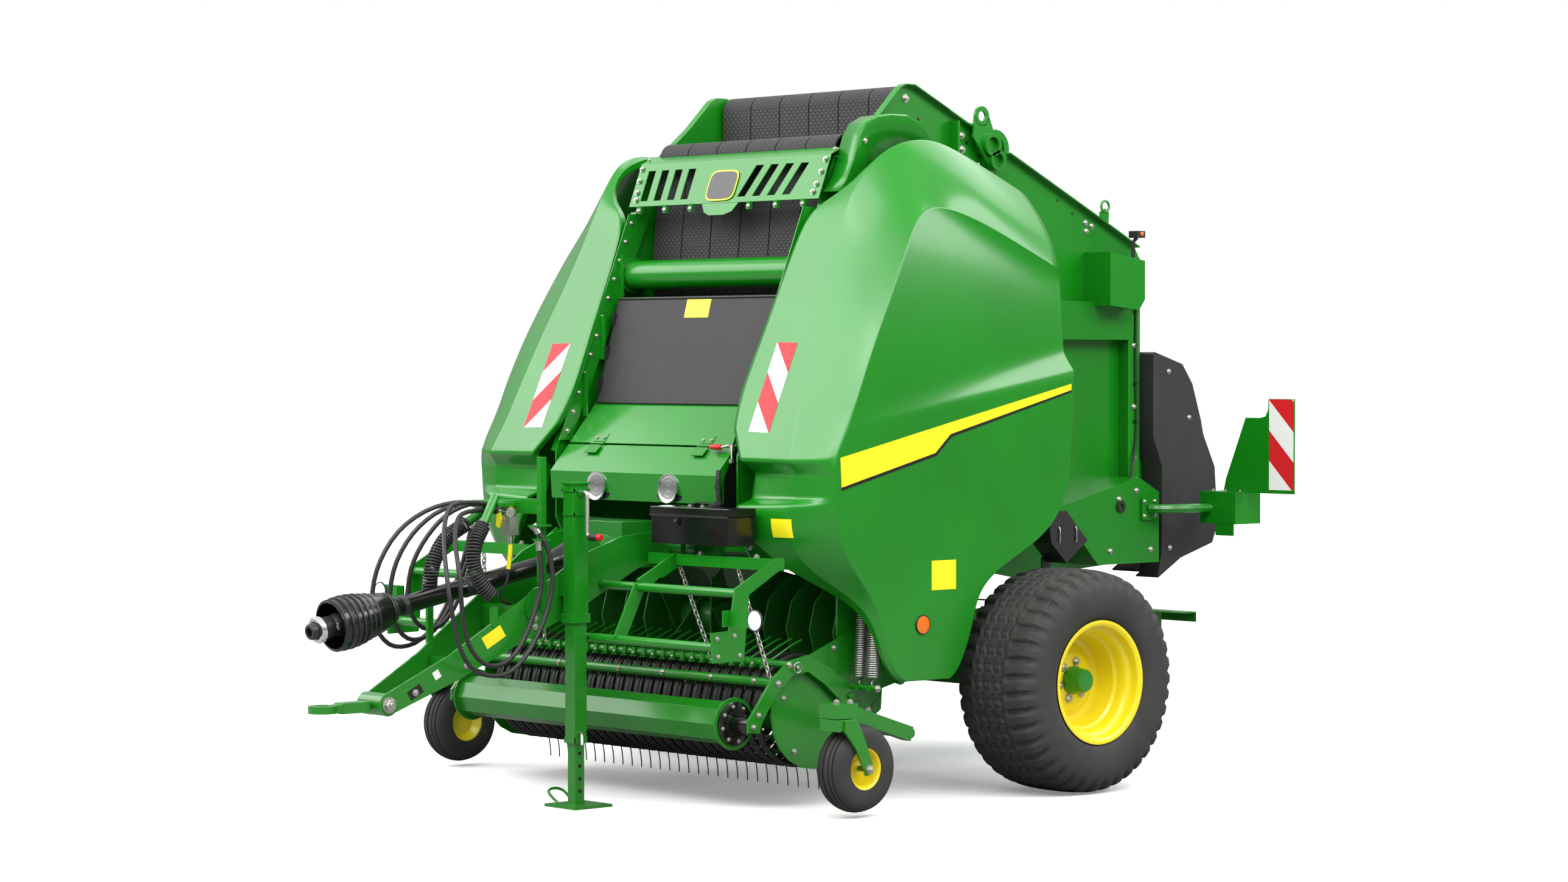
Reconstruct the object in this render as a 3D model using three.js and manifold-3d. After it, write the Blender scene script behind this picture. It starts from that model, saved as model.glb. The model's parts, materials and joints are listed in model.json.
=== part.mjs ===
// Round baler with a variable chamber: towed by a tractor, standing on its two wheels and its jack.
// Millimetres, +Z up, ground at Z = 0. The machine travels towards -Y and its left side is at +X.
// Every piece is drawn from the wheel axle's line (Y = 0), then the whole group moves by MID_Y.
import * as THREE from 'three';
import { mergeVertices } from 'three/addons/utils/BufferGeometryUtils.js';
import Module from 'manifold-3d';

const wasm = await Module();
wasm.setup();

// ---------------------------------------------------------------- driving dimensions
const MID_Y = 769;                    // moves the middle of the length onto Y = 0
const GAP = 0.4;                      // air between two pieces that touch
const SHEET = 8;                      // chamber wall thickness
const WALL_IN = 622;                  // inner face of the chamber walls
const WALL_OUT = WALL_IN + SHEET;
const WHEEL = { r: 496, x: 1276, half: 233, rim: 262, flange: 274 };
const WHEEL_SIDES = 26;
const AXLE_Z = WHEEL.r;
const HINGE = { y: 200, z: 2885 };    // gate pivot
const ROTOR = { y: -860, z: 740, r: 235, half: 950 };
const DRUM = { y: -1262, z: 412, r: 240 };      // strippers of the pickup
const REEL = { y: -1240, z: 345, bar: 140, tip: 290 };
const ROLLER = { y: -1636, z: 378, r: 92, disc: 112, half: 905 };
const GUARD_PIVOT = { y: -1085, z: 470 };
const CASTER = { x: 1366, y: -1475, wheelY: -1364, wheelZ: 209, r: 187 };
const JACK = { x: 270, y: -1980 };
const PTO_TIP = new THREE.Vector3(0, -3126, 800);
const PTO_REAR = new THREE.Vector3(0, -1640, 1084);
const TINE_PITCH = 66;
const TINES = 29;
// the leaning front of the body: y of the door's face at height z
const FRONT_SLOPE = 0.44;
const frontY = (z) => -1215 + FRONT_SLOPE * (z - 1990);

// ---------------------------------------------------------------- finishes
const finish = (color, roughness, metalness) => new THREE.MeshStandardMaterial({ color, roughness, metalness });
const GREEN = finish('#2f8f2b', 0.35, 0.1);
const YELLOW = finish('#f2dc14', 0.35, 0.1);
const BLACK_RUBBER = finish('#2b2b2b', 0.85, 0);
const TYRE = finish('#333333', 0.8, 0);
const GREY_PLASTIC = finish('#4a4a4a', 0.6, 0);
const GLOSS_BLACK = finish('#101010', 0.25, 0.1);
const STEEL = finish('#b9b9b4', 0.35, 0.9);
const CAST = finish('#2a6f27', 0.55, 0.3);

// ---------------------------------------------------------------- solids
function solid(geometry) {
  const bare = geometry.clone();
  bare.deleteAttribute('normal');
  bare.deleteAttribute('uv');
  const merged = mergeVertices(bare, 1e-3);
  const triVerts = new Uint32Array(merged.index.array);
  const vertProperties = new Float32Array(merged.attributes.position.array);
  const made = new wasm.Manifold(new wasm.Mesh({ numProp: 3, vertProperties, triVerts }));
  if (made.volume() > 0) return made;
  for (let i = 0; i < triVerts.length; i += 3) {
    [triVerts[i], triVerts[i + 1]] = [triVerts[i + 1], triVerts[i]];
  }
  return new wasm.Manifold(new wasm.Mesh({ numProp: 3, vertProperties, triVerts }));
}

function join(pieces) {
  return pieces.reduce((sum, piece) => sum.add(piece));
}

function toGeometry(body) {
  const mesh = body.getMesh();
  const geometry = new THREE.BufferGeometry();
  geometry.setAttribute('position', new THREE.BufferAttribute(mesh.vertProperties.slice(), 3));
  geometry.setIndex(new THREE.BufferAttribute(mesh.triVerts.slice(), 1));
  geometry.computeVertexNormals();
  return geometry;
}

const v3 = (x, y, z) => new THREE.Vector3(x, y, z);

function block(x0, x1, y0, y1, z0, z1) {
  const box = new THREE.BoxGeometry(Math.abs(x1 - x0), Math.abs(y1 - y0), Math.abs(z1 - z0));
  return solid(box.translate((x0 + x1) / 2, (y0 + y1) / 2, (z0 + z1) / 2));
}

function outline(points) {
  return new THREE.Shape(points.map(([a, b]) => new THREE.Vector2(a, b)));
}

// a sheet cut to an outline in the side view (Y, Z), between two X planes
function plateX(shape, x0, x1) {
  const drawn = Array.isArray(shape) ? outline(shape) : shape;
  const geometry = new THREE.ExtrudeGeometry(drawn, { depth: Math.abs(x1 - x0), bevelEnabled: false, curveSegments: 10 });
  geometry.applyMatrix4(new THREE.Matrix4().makeBasis(v3(0, 1, 0), v3(0, 0, 1), v3(1, 0, 0)));
  return solid(geometry.translate(Math.min(x0, x1), 0, 0));
}

// the same in the front view (X, Z), between two Y planes
function plateY(points, y0, y1) {
  const geometry = new THREE.ExtrudeGeometry(outline(points), { depth: Math.abs(y1 - y0), bevelEnabled: false });
  geometry.applyMatrix4(new THREE.Matrix4().makeBasis(v3(1, 0, 0), v3(0, 0, 1), v3(0, -1, 0)));
  return solid(geometry.translate(0, Math.max(y0, y1), 0));
}

// the same in the plan view (X, Y), between two heights
function plateZ(points, z0, z1) {
  const geometry = new THREE.ExtrudeGeometry(outline(points), { depth: Math.abs(z1 - z0), bevelEnabled: false });
  return solid(geometry.translate(0, 0, Math.min(z0, z1)));
}

// an outline moved inwards by t along its corners' mitres
function inset(points, t) {
  const area = points.reduce((sum, [a, b], i) => {
    const [c, d] = points[(i + 1) % points.length];
    return sum + a * d - b * c;
  }, 0);
  const turn = Math.sign(area);
  return points.map(([a, b], i) => {
    const [pa, pb] = points[(i + points.length - 1) % points.length];
    const [na, nb] = points[(i + 1) % points.length];
    const u = new THREE.Vector2(a - pa, b - pb).normalize();
    const w = new THREE.Vector2(na - a, nb - b).normalize();
    const n1 = new THREE.Vector2(-u.y, u.x).multiplyScalar(turn);
    const n2 = new THREE.Vector2(-w.y, w.x).multiplyScalar(turn);
    const mitre = n1.clone().add(n2).normalize();
    const reach = t / Math.max(0.35, mitre.dot(n1));
    return [a + mitre.x * reach, b + mitre.y * reach];
  });
}

// a pressed tray: a face at xFace with a rim that runs back to xOpen
function tray(points, xOpen, xFace, t) {
  const side = Math.sign(xFace - xOpen);
  return plateX(points, xOpen, xFace).subtract(plateX(inset(points, t), xOpen - side * 5, xFace - side * t));
}

function orient(geometry, p, q, up = v3(0, 0, 1)) {
  const dir = q.clone().sub(p);
  const z = dir.clone().normalize();
  const x = (Math.abs(z.dot(up)) > 0.99 ? v3(1, 0, 0) : up.clone()).cross(z).normalize();
  const y = z.clone().cross(x);
  geometry.applyMatrix4(new THREE.Matrix4().makeBasis(x, y, z));
  const middle = p.clone().add(q).multiplyScalar(0.5);
  return geometry.translate(middle.x, middle.y, middle.z);
}

// a square or flat bar from p to q: wide across, deep upwards
function bar(p, q, wide, deep, up) {
  return solid(orient(new THREE.BoxGeometry(wide, deep, p.distanceTo(q)), p, q, up));
}

function rod(p, q, r, sides = 20, r2 = r) {
  const geometry = new THREE.CylinderGeometry(r2, r, p.distanceTo(q), sides);
  return solid(orient(geometry.rotateX(Math.PI / 2), p, q));
}

const rodX = (x0, x1, y, z, r, sides = 24) => rod(v3(x0, y, z), v3(x1, y, z), r, sides);

// a bent tube or hose through its points
function bent(points, r, sides = 8, steps = 40) {
  const ring = new THREE.Shape();
  for (let i = 0; i < sides; i += 1) {
    const a = (i / sides) * Math.PI * 2;
    const put = i === 0 ? 'moveTo' : 'lineTo';
    ring[put](Math.cos(a) * r, Math.sin(a) * r);
  }
  ring.closePath();
  const path = new THREE.CatmullRomCurve3(points.map((p) => v3(...p)), false, 'centripetal');
  return solid(new THREE.ExtrudeGeometry(ring, { steps, bevelEnabled: false, extrudePath: path }));
}

// a turned piece: (radius, x) profile turned about the X line through (y, z)
function turned(profile, x, y, z, sides = 48) {
  const geometry = new THREE.LatheGeometry(profile.map(([r, h]) => new THREE.Vector2(r, h)), sides);
  geometry.rotateZ(-Math.PI / 2).rotateX(Math.PI / sides);
  return solid(geometry.translate(x, y, z));
}

function disc(y, z, r) {
  const shape = new THREE.Shape();
  shape.absarc(y, z, r, 0, Math.PI * 2, false);
  return shape;
}

const around = (cy, cz, r, deg) => [cy + r * Math.cos(deg * Math.PI / 180), cz + r * Math.sin(deg * Math.PI / 180)];

// ---------------------------------------------------------------- scene graph
const baler = new THREE.Group();
baler.name = 'round_baler';
baler.position.y = MID_Y;

function add(name, body, material) {
  const geometry = body.isBufferGeometry ? body : toGeometry(body);
  const mesh = new THREE.Mesh(geometry, material);
  mesh.name = name;
  baler.add(mesh);
}

function mirrored(body) {
  const geometry = toGeometry(body).scale(-1, 1, 1);
  const index = geometry.index.array;
  for (let i = 0; i < index.length; i += 3) {
    [index[i], index[i + 1]] = [index[i + 1], index[i]];
  }
  geometry.computeVertexNormals();
  return geometry;
}

function addPair(name, body, material) {
  add(`${name}_left`, body, material);
  add(`${name}_right`, mirrored(body), material);
}

// ---------------------------------------------------------------- chamber walls, fixed front half
const APEX = [[-425, 3135], [-395, 3150], [-335, 3150]];
const FRAME_TOP = [[-885, 2622], [-805, 2810], [-745, 2848], [-560, 3000], ...APEX, [96, 2948]];
const SEAM_FRONT = [[96, 2790], [30, 2300], [30, 662]];
const FRAME_LOWER = [[-560, 662], [-590, 900], [-596, 1022], [-1280, 1022], [-1372, 1200], [-1372, 1500]];

function edgeFlange(points, x0, x1, t) {
  return points.slice(1).map(([y, z], i) => {
    const [y0, z0] = points[i];
    const mid = (x0 + x1) / 2;
    return bar(v3(mid, y0, z0), v3(mid, y, z), x1 - x0, t);
  });
}

function sideFrame() {
  const wall = plateX([...FRAME_TOP, ...SEAM_FRONT, ...FRAME_LOWER], WALL_IN, WALL_OUT);
  const flange = edgeFlange(FRAME_TOP.slice(1), WALL_IN, WALL_OUT + 32, 6);
  const front = edgeFlange([[-1368, 1500], [-889, 2600]], WALL_IN, WALL_OUT + 34, 6);
  const gusset = block(WALL_OUT - 1, 688, -92, -80, 2720, 3000)
    .intersect(plateX([[-200, 2600], [200, 2600], [200, 2895], [-200, 3080]], 600, 800));
  const hingeCheek = plateX([[-120, 2800], [-120, 3040], [200, 2960], [262, 2885], [200, 2825]], WALL_IN - 16, WALL_IN);
  const doorHinge = [-420, -20].map((y) => {
    const z = doorAxisZ(y);
    const knuckle = rod(v3(DOOR_AXIS_X, y - 45, doorAxisZ(y - 45)), v3(DOOR_AXIS_X, y + 45, doorAxisZ(y + 45)), 10, 12);
    return knuckle.add(bar(v3(WALL_OUT - 2, y, z), v3(DOOR_AXIS_X, y, z), 60, 12));
  });
  return join([wall, ...flange, ...front, gusset, hingeCheek, ...doorHinge]);
}

// ---------------------------------------------------------------- side doors
const DOOR_SLOPE = -0.43;
const DOOR_AXIS_X = 700;
const doorAxisZ = (y) => 2703 + DOOR_SLOPE * (y - 100);
const DOOR_OUT = 1222;
const DOOR_T = 12;
const DOOR_SIDE = [
  [-868, 2775], [-800, 2850], [-700, 2915], [-600, 2945], [-500, 2930], [-420, 2902],
  [62, 2695], [84, 2640], [96, 2284], [84, 1945], [117, 1866], [94, 1442], [75, 1348],
  [5, 1214], [-61, 1134], [-331, 1023], [-450, 975], [-519, 804], [-557, 646], [-600, 560],
  [-668, 528], [-961, 524], [-1050, 580], [-1094, 778], [-1162, 890],
  [-1395, 1010], [-1480, 1240], [-1372, 1262], [-1380, 1400], [-1440, 1480],
];
// the lower and rear edges turn in by 40 mm only: everything inboard of that is open
const DOOR_OPEN = [[60, 2655], [300, 2655], [300, 300], [-1220, 300], [-1160, 905], [-1100, 940], [-1000, 1500], [-500, 2500]];
// section of the crest, at the rear edge: it follows the sloping top
const CREST = [[560, 2712], [760, 2705], [900, 2672], [1010, 2618], [1100, 2540], [1170, 2440], [1210, 2330], [DOOR_OUT, 2180]];
const CORNER = [[560, 0], [930, 4], [1060, 22], [1150, 50], [1200, 90], [DOOR_OUT, 150]];

function doorBlank(t) {
  const side = plateX(DOOR_SIDE, 540, DOOR_OUT);
  const crestPoints = [...CREST.map(([x, z]) => [Math.min(x, DOOR_OUT - t), z - t]), [DOOR_OUT - t, -900], [500, -900], [500, 2712 - t]];
  const crest = new THREE.ExtrudeGeometry(outline(crestPoints), { depth: 2400, bevelEnabled: false });
  crest.applyMatrix4(new THREE.Matrix4().makeBasis(v3(1, 0, 0), v3(0, 0, 1), v3(0, -1, -DOOR_SLOPE)));
  crest.translate(0, 700, DOOR_SLOPE * 600);
  const plan = [...CORNER.map(([x, y]) => [Math.min(x, DOOR_OUT - t), y + t]), [DOOR_OUT - t, 3000], [500, 3000], [500, t]];
  const corner = new THREE.ExtrudeGeometry(outline(plan), { depth: 2800, bevelEnabled: false });
  corner.applyMatrix4(new THREE.Matrix4().makeBasis(v3(1, 0, 0), v3(0, 1, 0), v3(0, FRONT_SLOPE, 1)));
  corner.translate(0, frontY(400), 400);
  return side.intersect(solid(crest)).intersect(solid(corner).add(block(500, DOOR_OUT - t, -1600, 300, 300, 1500)));
}

function sideDoor() {
  const blank = doorBlank(0);
  const inner = doorBlank(DOOR_T);
  const open = inset(DOOR_SIDE, DOOR_T);
  const hollow = inner.intersect(plateX(open, 500, DOOR_OUT));
  const inboard = block(500, DOOR_AXIS_X + 14, -700, 400, 300, 3200)
    .add(block(500, 780, -1390, 400, 300, 1500))
    .add(block(500, 606, -1600, 400, 300, 3200));
  const besideGrille = block(500, 664, -1600, 400, 2600, 3200);
  const openEdges = plateX(DOOR_OPEN, 500, DOOR_OUT - 40);
  return blank.subtract(hollow).subtract(inboard).subtract(besideGrille).subtract(openEdges);
}

// ---------------------------------------------------------------- gate
const GATE_TOP = [[272, 2866], [954, 2546], [1150, 2452], [1190, 2390]];
const GATE_REAR = [[1190, 1905], [1330, 1850], [1430, 1600], [1500, 1400], [1520, 1180], [1480, 1070], [1190, 960]];
const GATE_FRONT = [[350, 905], [46, 960], [46, 2302], [112, 2792], [112, 2850]];

const CORNER_BOX = [[800, 2420], [1039, 2382], [1039, 2200], [1000, 2150], [800, 2170]];
const GIRDER = [[450, 1235], [1000, 1362], [1140, 1290], [1140, 958], [720, 958], [600, 1080]];

function gateSide() {
  const wall = plateX([...GATE_TOP, ...GATE_REAR, ...GATE_FRONT], WALL_IN, WALL_OUT)
    .add(plateX(disc(HINGE.y, HINGE.z, 88), WALL_IN + GAP, WALL_OUT + 10));
  const flange = edgeFlange(GATE_TOP.slice(0, 3), WALL_IN, WALL_OUT + 36, 6);
  const post = block(WALL_OUT - 1, 692, 1040, 1120, 1250, 2400);
  const rail = block(WALL_OUT - 1, 700, 250, 1045, 2010, 2190);
  const boxed = tray(CORNER_BOX, WALL_OUT - 1, 800, 6);
  const girder = tray(GIRDER, WALL_OUT - 1, 800, 6);
  const windows = [CORNER_BOX, GIRDER].map((points) => plateX(inset(points, 45), WALL_IN - 5, WALL_OUT + 1));
  const lug = plateX([[905, 2560], [955, 2540], [960, 2610], [935, 2630], [905, 2615]], WALL_OUT, WALL_OUT + 12);
  const bore = plateX(disc(HINGE.y, HINGE.z, 57), WALL_IN - 10, WALL_OUT + 30);
  return join([wall.subtract(join(windows)), ...flange, post, rail, boxed, girder, lug]).subtract(bore);
}

function gateBack() {
  const span = WALL_IN - GAP;
  const sheet = [[1182, 2384], [1182, 1962], [1174, 1962], [1174, 2380], [1142, 2445], [960, 2532], [964, 2538], [1148, 2450]];
  const back = plateX(sheet, -span, span);
  const tubes = [[1152, 2380, 26], [1155, 1985, 22], [1485, 1110, 18]].map(([y, z, r]) => rodX(-span, span, y, z, r, 14));
  const strap = [[1172, 1990], [1184, 1990], [1452, 1650], [1502, 1410], [1502, 1110], [1490, 1100], [1490, 1405], [1441, 1644]];
  const straps = [-270, 230].map((x) => plateX(strap, x, x + 40));
  return join([back, ...tubes, ...straps]);
}

const GATE_BELT = [[292, 2660], [300, 2735], [345, 2738], [1085, 2412], [1112, 2370], [1106, 1865], [1385, 1570],
  [1420, 1480], [1430, 1180], [1385, 1095], [1330, 1090], [1290, 1130], [1220, 1480], [1000, 1830], [980, 2300], [330, 2620]];

function loopBelt(points, t, half) {
  return plateX(points, -half, half).subtract(plateX(inset(points, t), -half - 5, half + 5));
}

function rounded(centres, steps = 5) {
  // the outline of a belt round its rollers: arcs joined by straight runs
  const points = [];
  centres.forEach(([y, z, r, from, to]) => {
    for (let i = 0; i <= steps; i += 1) {
      points.push(around(y, z, r, from + (to - from) * i / steps));
    }
  });
  return points;
}

// ---------------------------------------------------------------- wheels
// a many-sided ring with one flat side down, so that it stands on the ground
function tyre() {
  const { half, rim, flange } = WHEEL;
  const r = WHEEL.r / Math.cos(Math.PI / WHEEL_SIDES);
  const section = [
    [rim + GAP, -205], [rim + GAP, 205], [flange + 1, 205], [300, 226], [360, half], [420, 228], [458, 208], [484, 176], [r, 110],
    [r, -110], [484, -176], [458, -208], [420, -228], [360, -half], [300, -226],
    [flange + 1, -205], [rim + GAP, -205],
  ];
  return turned(section, WHEEL.x, 0, AXLE_Z, WHEEL_SIDES);
}

function rim() {
  const { rim: barrel, flange } = WHEEL;
  const section = [
    [0, 128], [50, 128], [52, 30], [118, 6], [200, 6], [230, 130], [248, 150],
    [252, 212], [flange, 214], [flange, 206], [barrel, 205.5], [barrel, -205.5], [flange, -206], [flange, -214],
    [250, -212], [205, -10], [90, -60], [44, -60], [44, 90], [0, 90],
  ];
  return turned(section, WHEEL.x, 0, AXLE_Z, WHEEL_SIDES);
}

function gaugeWheel() {
  const section = [[0, 12], [78, 2], [88, 60], [118, 68], [165, 56], [CASTER.r, 14],
    [CASTER.r, -14], [165, -56], [118, -68], [88, -60], [84, -24], [0, -24]];
  return turned(section, CASTER.x, CASTER.wheelY, CASTER.wheelZ, 20);
}

// ---------------------------------------------------------------- root pieces
function axle() {
  const beam = block(-1000, 1000, -55, 55, AXLE_Z - 55, AXLE_Z + 55);
  const spindle = rodX(-1350, 1350, 0, AXLE_Z, 40, 20);
  const pads = [-560, 560].map((x) => block(x - 70, x + 70, -90, 90, AXLE_Z + 54, 560));
  return join([beam, spindle, ...pads]);
}

function mainFrame() {
  const rails = [-560, 560].map((x) => block(x - 40, x + 40, -540, 720, 560 + GAP, 660));
  const cross = [-500, 200, 660].map((y) => block(-560, 560, y - 40, y + 40, 570, 650));
  const rampLugs = [-500, 500].map((x) => block(x - 6, x + 6, 690, 790, 560, 650));
  return join([...rails, ...cross, ...rampLugs]);
}

function drawbar() {
  const side = [[-2860, 470], [-2830, 522], [-2540, 668], [-2240, 857], [-1900, 1075], [-1700, 1150], [-1300, 1190],
    [-1300, 1100], [-1620, 1010], [-1900, 850], [-2200, 706], [-2500, 562], [-2830, 425]];
  const cheek = (s) => {
    const geometry = new THREE.ExtrudeGeometry(outline(side), { depth: 12, bevelEnabled: false });
    geometry.applyMatrix4(new THREE.Matrix4().makeBasis(v3(0, 1, 0), v3(0, 0, 1), v3(1, 0, 0)));
    geometry.translate(s > 0 ? 58 : -70, 0, 0);
    const shear = new THREE.Matrix4().set(1, s * 0.155, 0, s * 0.155 * 2830, 0, 1, 0, 0, 0, 0, 1, 0, 0, 0, 0, 1);
    return solid(geometry.applyMatrix4(shear));
  };
  const boss = rodX(-80, 80, -2830, 475, 48, 24);
  const ties = [block(-170, 170, -2160, -2100, 760, 860), block(-118, 118, -2480, -2440, 590, 650)];
  const beam = block(-WALL_IN + GAP, WALL_IN - GAP, -1310, -1210, 1080, 1200);
  const jackBracket = block(190, JACK.x - 39.5, -2015, -1945, 900, 1000);
  const sideDrive = rodX(200, 420, -1440, 1100, 38, 16);
  const clips = [block(-132, -116, -2480, -2450, 690, 868), block(130, 150, -2338, -2308, 780, 868)];
  return join([cheek(1), cheek(-1), boss, ...ties, beam, jackBracket, ...clips]).subtract(sideDrive);
}

function hitchRing() {
  const ring = plateZ([[-36, -2890], [36, -2890], [30, -3030], [-30, -3030]], 445, 490);
  const eye = rod(v3(0, -3110, 452), v3(0, -3110, 484), 60, 32);
  const bore = rod(v3(0, -3110, 400), v3(0, -3110, 520), 27, 24);
  const neck = block(-28, 28, -3060, -3020, 452, 484);
  return join([ring, eye, neck]).subtract(bore);
}

function gearbox() {
  const body = block(-120, 120, -1600, -1360, 1000, 1205);
  const nose = rod(v3(0, -1655, 1081), v3(0, -1590, 1093), 55, 20);
  const side = rodX(118, WALL_IN - 30, -1440, 1100, 30, 16);
  return join([body, nose, side]);
}

const ptoDir = PTO_REAR.clone().sub(PTO_TIP).normalize();
const ptoAt = (s) => PTO_TIP.clone().addScaledVector(ptoDir, s);

// turned about the drive shaft's own slanting line: profile (radius, distance from the tip)
function alongPto(profile, sides = 20) {
  const geometry = new THREE.LatheGeometry(profile.map(([r, h]) => new THREE.Vector2(r, h)), sides);
  geometry.applyQuaternion(new THREE.Quaternion().setFromUnitVectors(v3(0, 1, 0), ptoDir));
  return solid(geometry.translate(PTO_TIP.x, PTO_TIP.y, PTO_TIP.z));
}

function ptoGuard() {
  return alongPto([[105, 60], [112, 120], [104, 200], [80, 330], [46, 390], [40, 400], [40, 1250], [52, 1270], [70, 1340],
    [66, 1342], [48, 1276], [36, 1256], [36, 396], [42, 384], [74, 324], [98, 196], [106, 120], [99, 60], [105, 60]]);
}

function ptoShaft() {
  return alongPto([[0, 0], [30, 0], [38, 14], [38, 60], [50, 90], [50, 190], [26, 220], [26, 1430], [0, 1430]], 20);
}

function supportPost() {
  const post = block(165, 195, -2110, -2080, 962, 1500);
  const foot = block(187, 199, -2110, -2080, 840, 970);
  const plate = block(-70, 165, -2104, -2092, 1255, 1320);
  const shelf = block(-200, 20, -2180, -2092, 1300, 1308);
  const sockets = [COILS.coil_cable_right, COILS.coil_cable_left].map((route) => {
    const mouth = v3(...route[0]);
    const along = v3(...route[1]).sub(mouth).normalize();
    const face = mouth.clone().addScaledVector(along, -GAP);
    return rod(face.clone().addScaledVector(along, -150), face, 20, 12);
  });
  const arms = [block(-80, -40, -2250, -2150, 1290, 1304), block(0, 80, -2250, -2150, 1290, 1304)];
  return join([post, foot, plate, shelf, ...sockets, ...arms]);
}

function squareTube(half, bore, z0, z1) {
  const { x, y } = JACK;
  return block(x - half, x + half, y - half, y + half, z0, z1).subtract(block(x - bore, x + bore, y - bore, y + bore, z0 - 10, z1 - 8));
}

function jackTube() {
  const { x, y } = JACK;
  const tube = squareTube(38, 34.5, 822, 1384);
  const collar = block(x - 45, x + 45, y - 45, y + 45, 790, 830).subtract(block(x - 34.5, x + 34.5, y - 34.5, y + 34.5, 780, 840));
  const crank = bent([[x + 30, y, 1350], [x + 70, y, 1350], [x + 78, y, 1340], [x + 78, y, 1170], [x + 86, y, 1160], [x + 150, y, 1160]], 7, 8, 12);
  return join([tube, collar, crank]);
}

function jackLeg() {
  return squareTube(33.5, 26.5, 273, 1050).subtract(block(200, 340, -2100, -1850, 1040, 1060));
}

function jackFoot() {
  const { x, y } = JACK;
  const leg = block(x - 25, x + 25, y - 25, y + 25, 10, 800);
  const plate = block(175, 385, -2078, -1872, 0, 12);
  const handle = bent([[x - 70, y + 40, 8], [x - 142, y + 40, 56], [x - 150, y, 66], [x - 142, y - 40, 56],
    [x - 70, y - 40, 8]], 6, 8, 12);
  return join([leg, plate, handle]);
}

function toolbox() {
  return block(366, 875, -1640, -1490, 1125, 1250).subtract(block(374, 867, -1632, -1498, 1133, 1260))
    .add(block(560, 600, -1491, -1380, 1150, 1210).intersect(block(560, 600, -1491, -1445, 1150, 1210)));
}

function toolboxLid() {
  return block(362, 879, -1644, -1486, 1250 + GAP, 1285).subtract(block(370, 871, -1636, -1494, 1240, 1278));
}

function frontGuard() {
  const x = 1128;
  const arm = [[-1600, 1085], [-1560, 1085], [-1552, 1050], [-1752, 940], [-1762, 856], [-1781, 667], [-1952, 664],
    [-1962, 790], [-1862, 794], [-1828, 968]];
  const plate = plateX(arm, x - 5, x + 5);
  const channel = block(300, x, -1600, -1550, 1032, 1080);
  const upper = rodX(236, x, -1800, 945, 20, 14);
  const lower = rodX(250, x, -1915, 725, 20, 14);
  const strut = bar(v3(480, -1800, 950), v3(480, -1915, 725), 12, 60);
  const link = bar(v3(480, -1800, 950), v3(480, -1580, 1060), 12, 60);
  return join([plate, channel, upper, lower, strut, link]);
}

function frontHood() {
  const side = [[-1166, 1720], [-1178, 1722], [-1336, 1541], [-1328, 1535]];
  return plateX(side, -WALL_IN + 50, WALL_IN - 50);
}

function netLid() {
  const side = [[-1330, 1531], [-1339, 1532], [-1447, 1414], [-1438, 1290], [-1430, 1290], [-1438, 1411]];
  const cheeks = [-572, 564].map((x) => plateX([[-1336, 1529], [-1444, 1411], [-1436, 1292], [-1400, 1292], [-1400, 1400]], x, x + 8));
  return join([plateX(side, -572, 572), ...cheeks]);
}

function netCover() {
  const side = [[-1046, 2196], [-1054, 2190], [-1180, 1726], [-1172, 1724]];
  return plateX(side, -560, 560);
}

function grillePanel() {
  const side = [[-918, 2624], [-840, 2826], [-770, 2858], [-768, 2852], [-834, 2821], [-911, 2622]];
  const face = plateX(side, -650, 650);
  const slots = [-580, -485, -390, -295, 100, 200, 300, 400].map((x, i) => {
    const lean = i < 4 ? 0 : 70;
    const cut = [[x, 2650], [x + 50, 2650], [x + 50 + lean, 2790], [x + lean, 2790]];
    return plateY(cut, -960, -780);
  });
  return slots.reduce((left, slot) => left.subtract(slot), face);
}

function frontRoller() {
  return join([rodX(-585, 585, -940, 2306, 68, 32), rodX(-WALL_IN + 4, WALL_IN - 4, -940, 2306, 24, 16),
    rodX(-600, -584, -940, 2306, 84, 32), rodX(584, 600, -940, 2306, 84, 32)]);
}

function feedHousing() {
  const cheek = [[-600, 560], [-600, 1000], [-1110, 1000], [-1114, 740], [-1075, 610], [-990, 515], [-860, 485], [-730, 515]];
  const boss = rodX(984, 1014, ROTOR.y, ROTOR.z, 50, 32);
  const cheeks = join([plateX(cheek, 972, 985), boss]);
  const roof = block(-980, 980, -1110, -600, 1000, 1010);
  const back = block(-980, -640, -612, -604, 560, 1005).add(block(640, 980, -612, -604, 560, 1005));
  const floor = plateX([[-600, 560], [-600, 570], [-735, 530], [-860, 496], [-990, 526], [-994, 514], [-860, 484], [-730, 516]], -980, 980);
  const bores = [plateX(disc(ROTOR.y, ROTOR.z, 32), -1100, 1100)];
  const right = solid(mirrored(cheeks));
  return join([cheeks, right, roof, back, floor]).subtract(bores[0]);
}

function feedRotor() {
  const core = rodX(-ROTOR.half, ROTOR.half, ROTOR.y, ROTOR.z, 90, 12);
  const shaft = rodX(-1010, 1010, ROTOR.y, ROTOR.z, 28, 16);
  const flights = [];
  for (let x = 330; x < 940; x += 150) {
    flights.push(rodX(x, x + 8, ROTOR.y, ROTOR.z, ROTOR.r, 12), rodX(-x - 8, -x, ROTOR.y, ROTOR.z, ROTOR.r, 12));
  }
  for (let x = -250; x <= 250; x += 125) {
    const star = [];
    for (let k = 0; k < 6; k += 1) {
      star.push(around(ROTOR.y, ROTOR.z, k % 2 ? 120 : ROTOR.r, k * 60 + (x * 0.36)));
    }
    flights.push(plateX(star, x - 4, x + 4));
  }
  return join([core, shaft, ...flights]);
}

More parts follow.
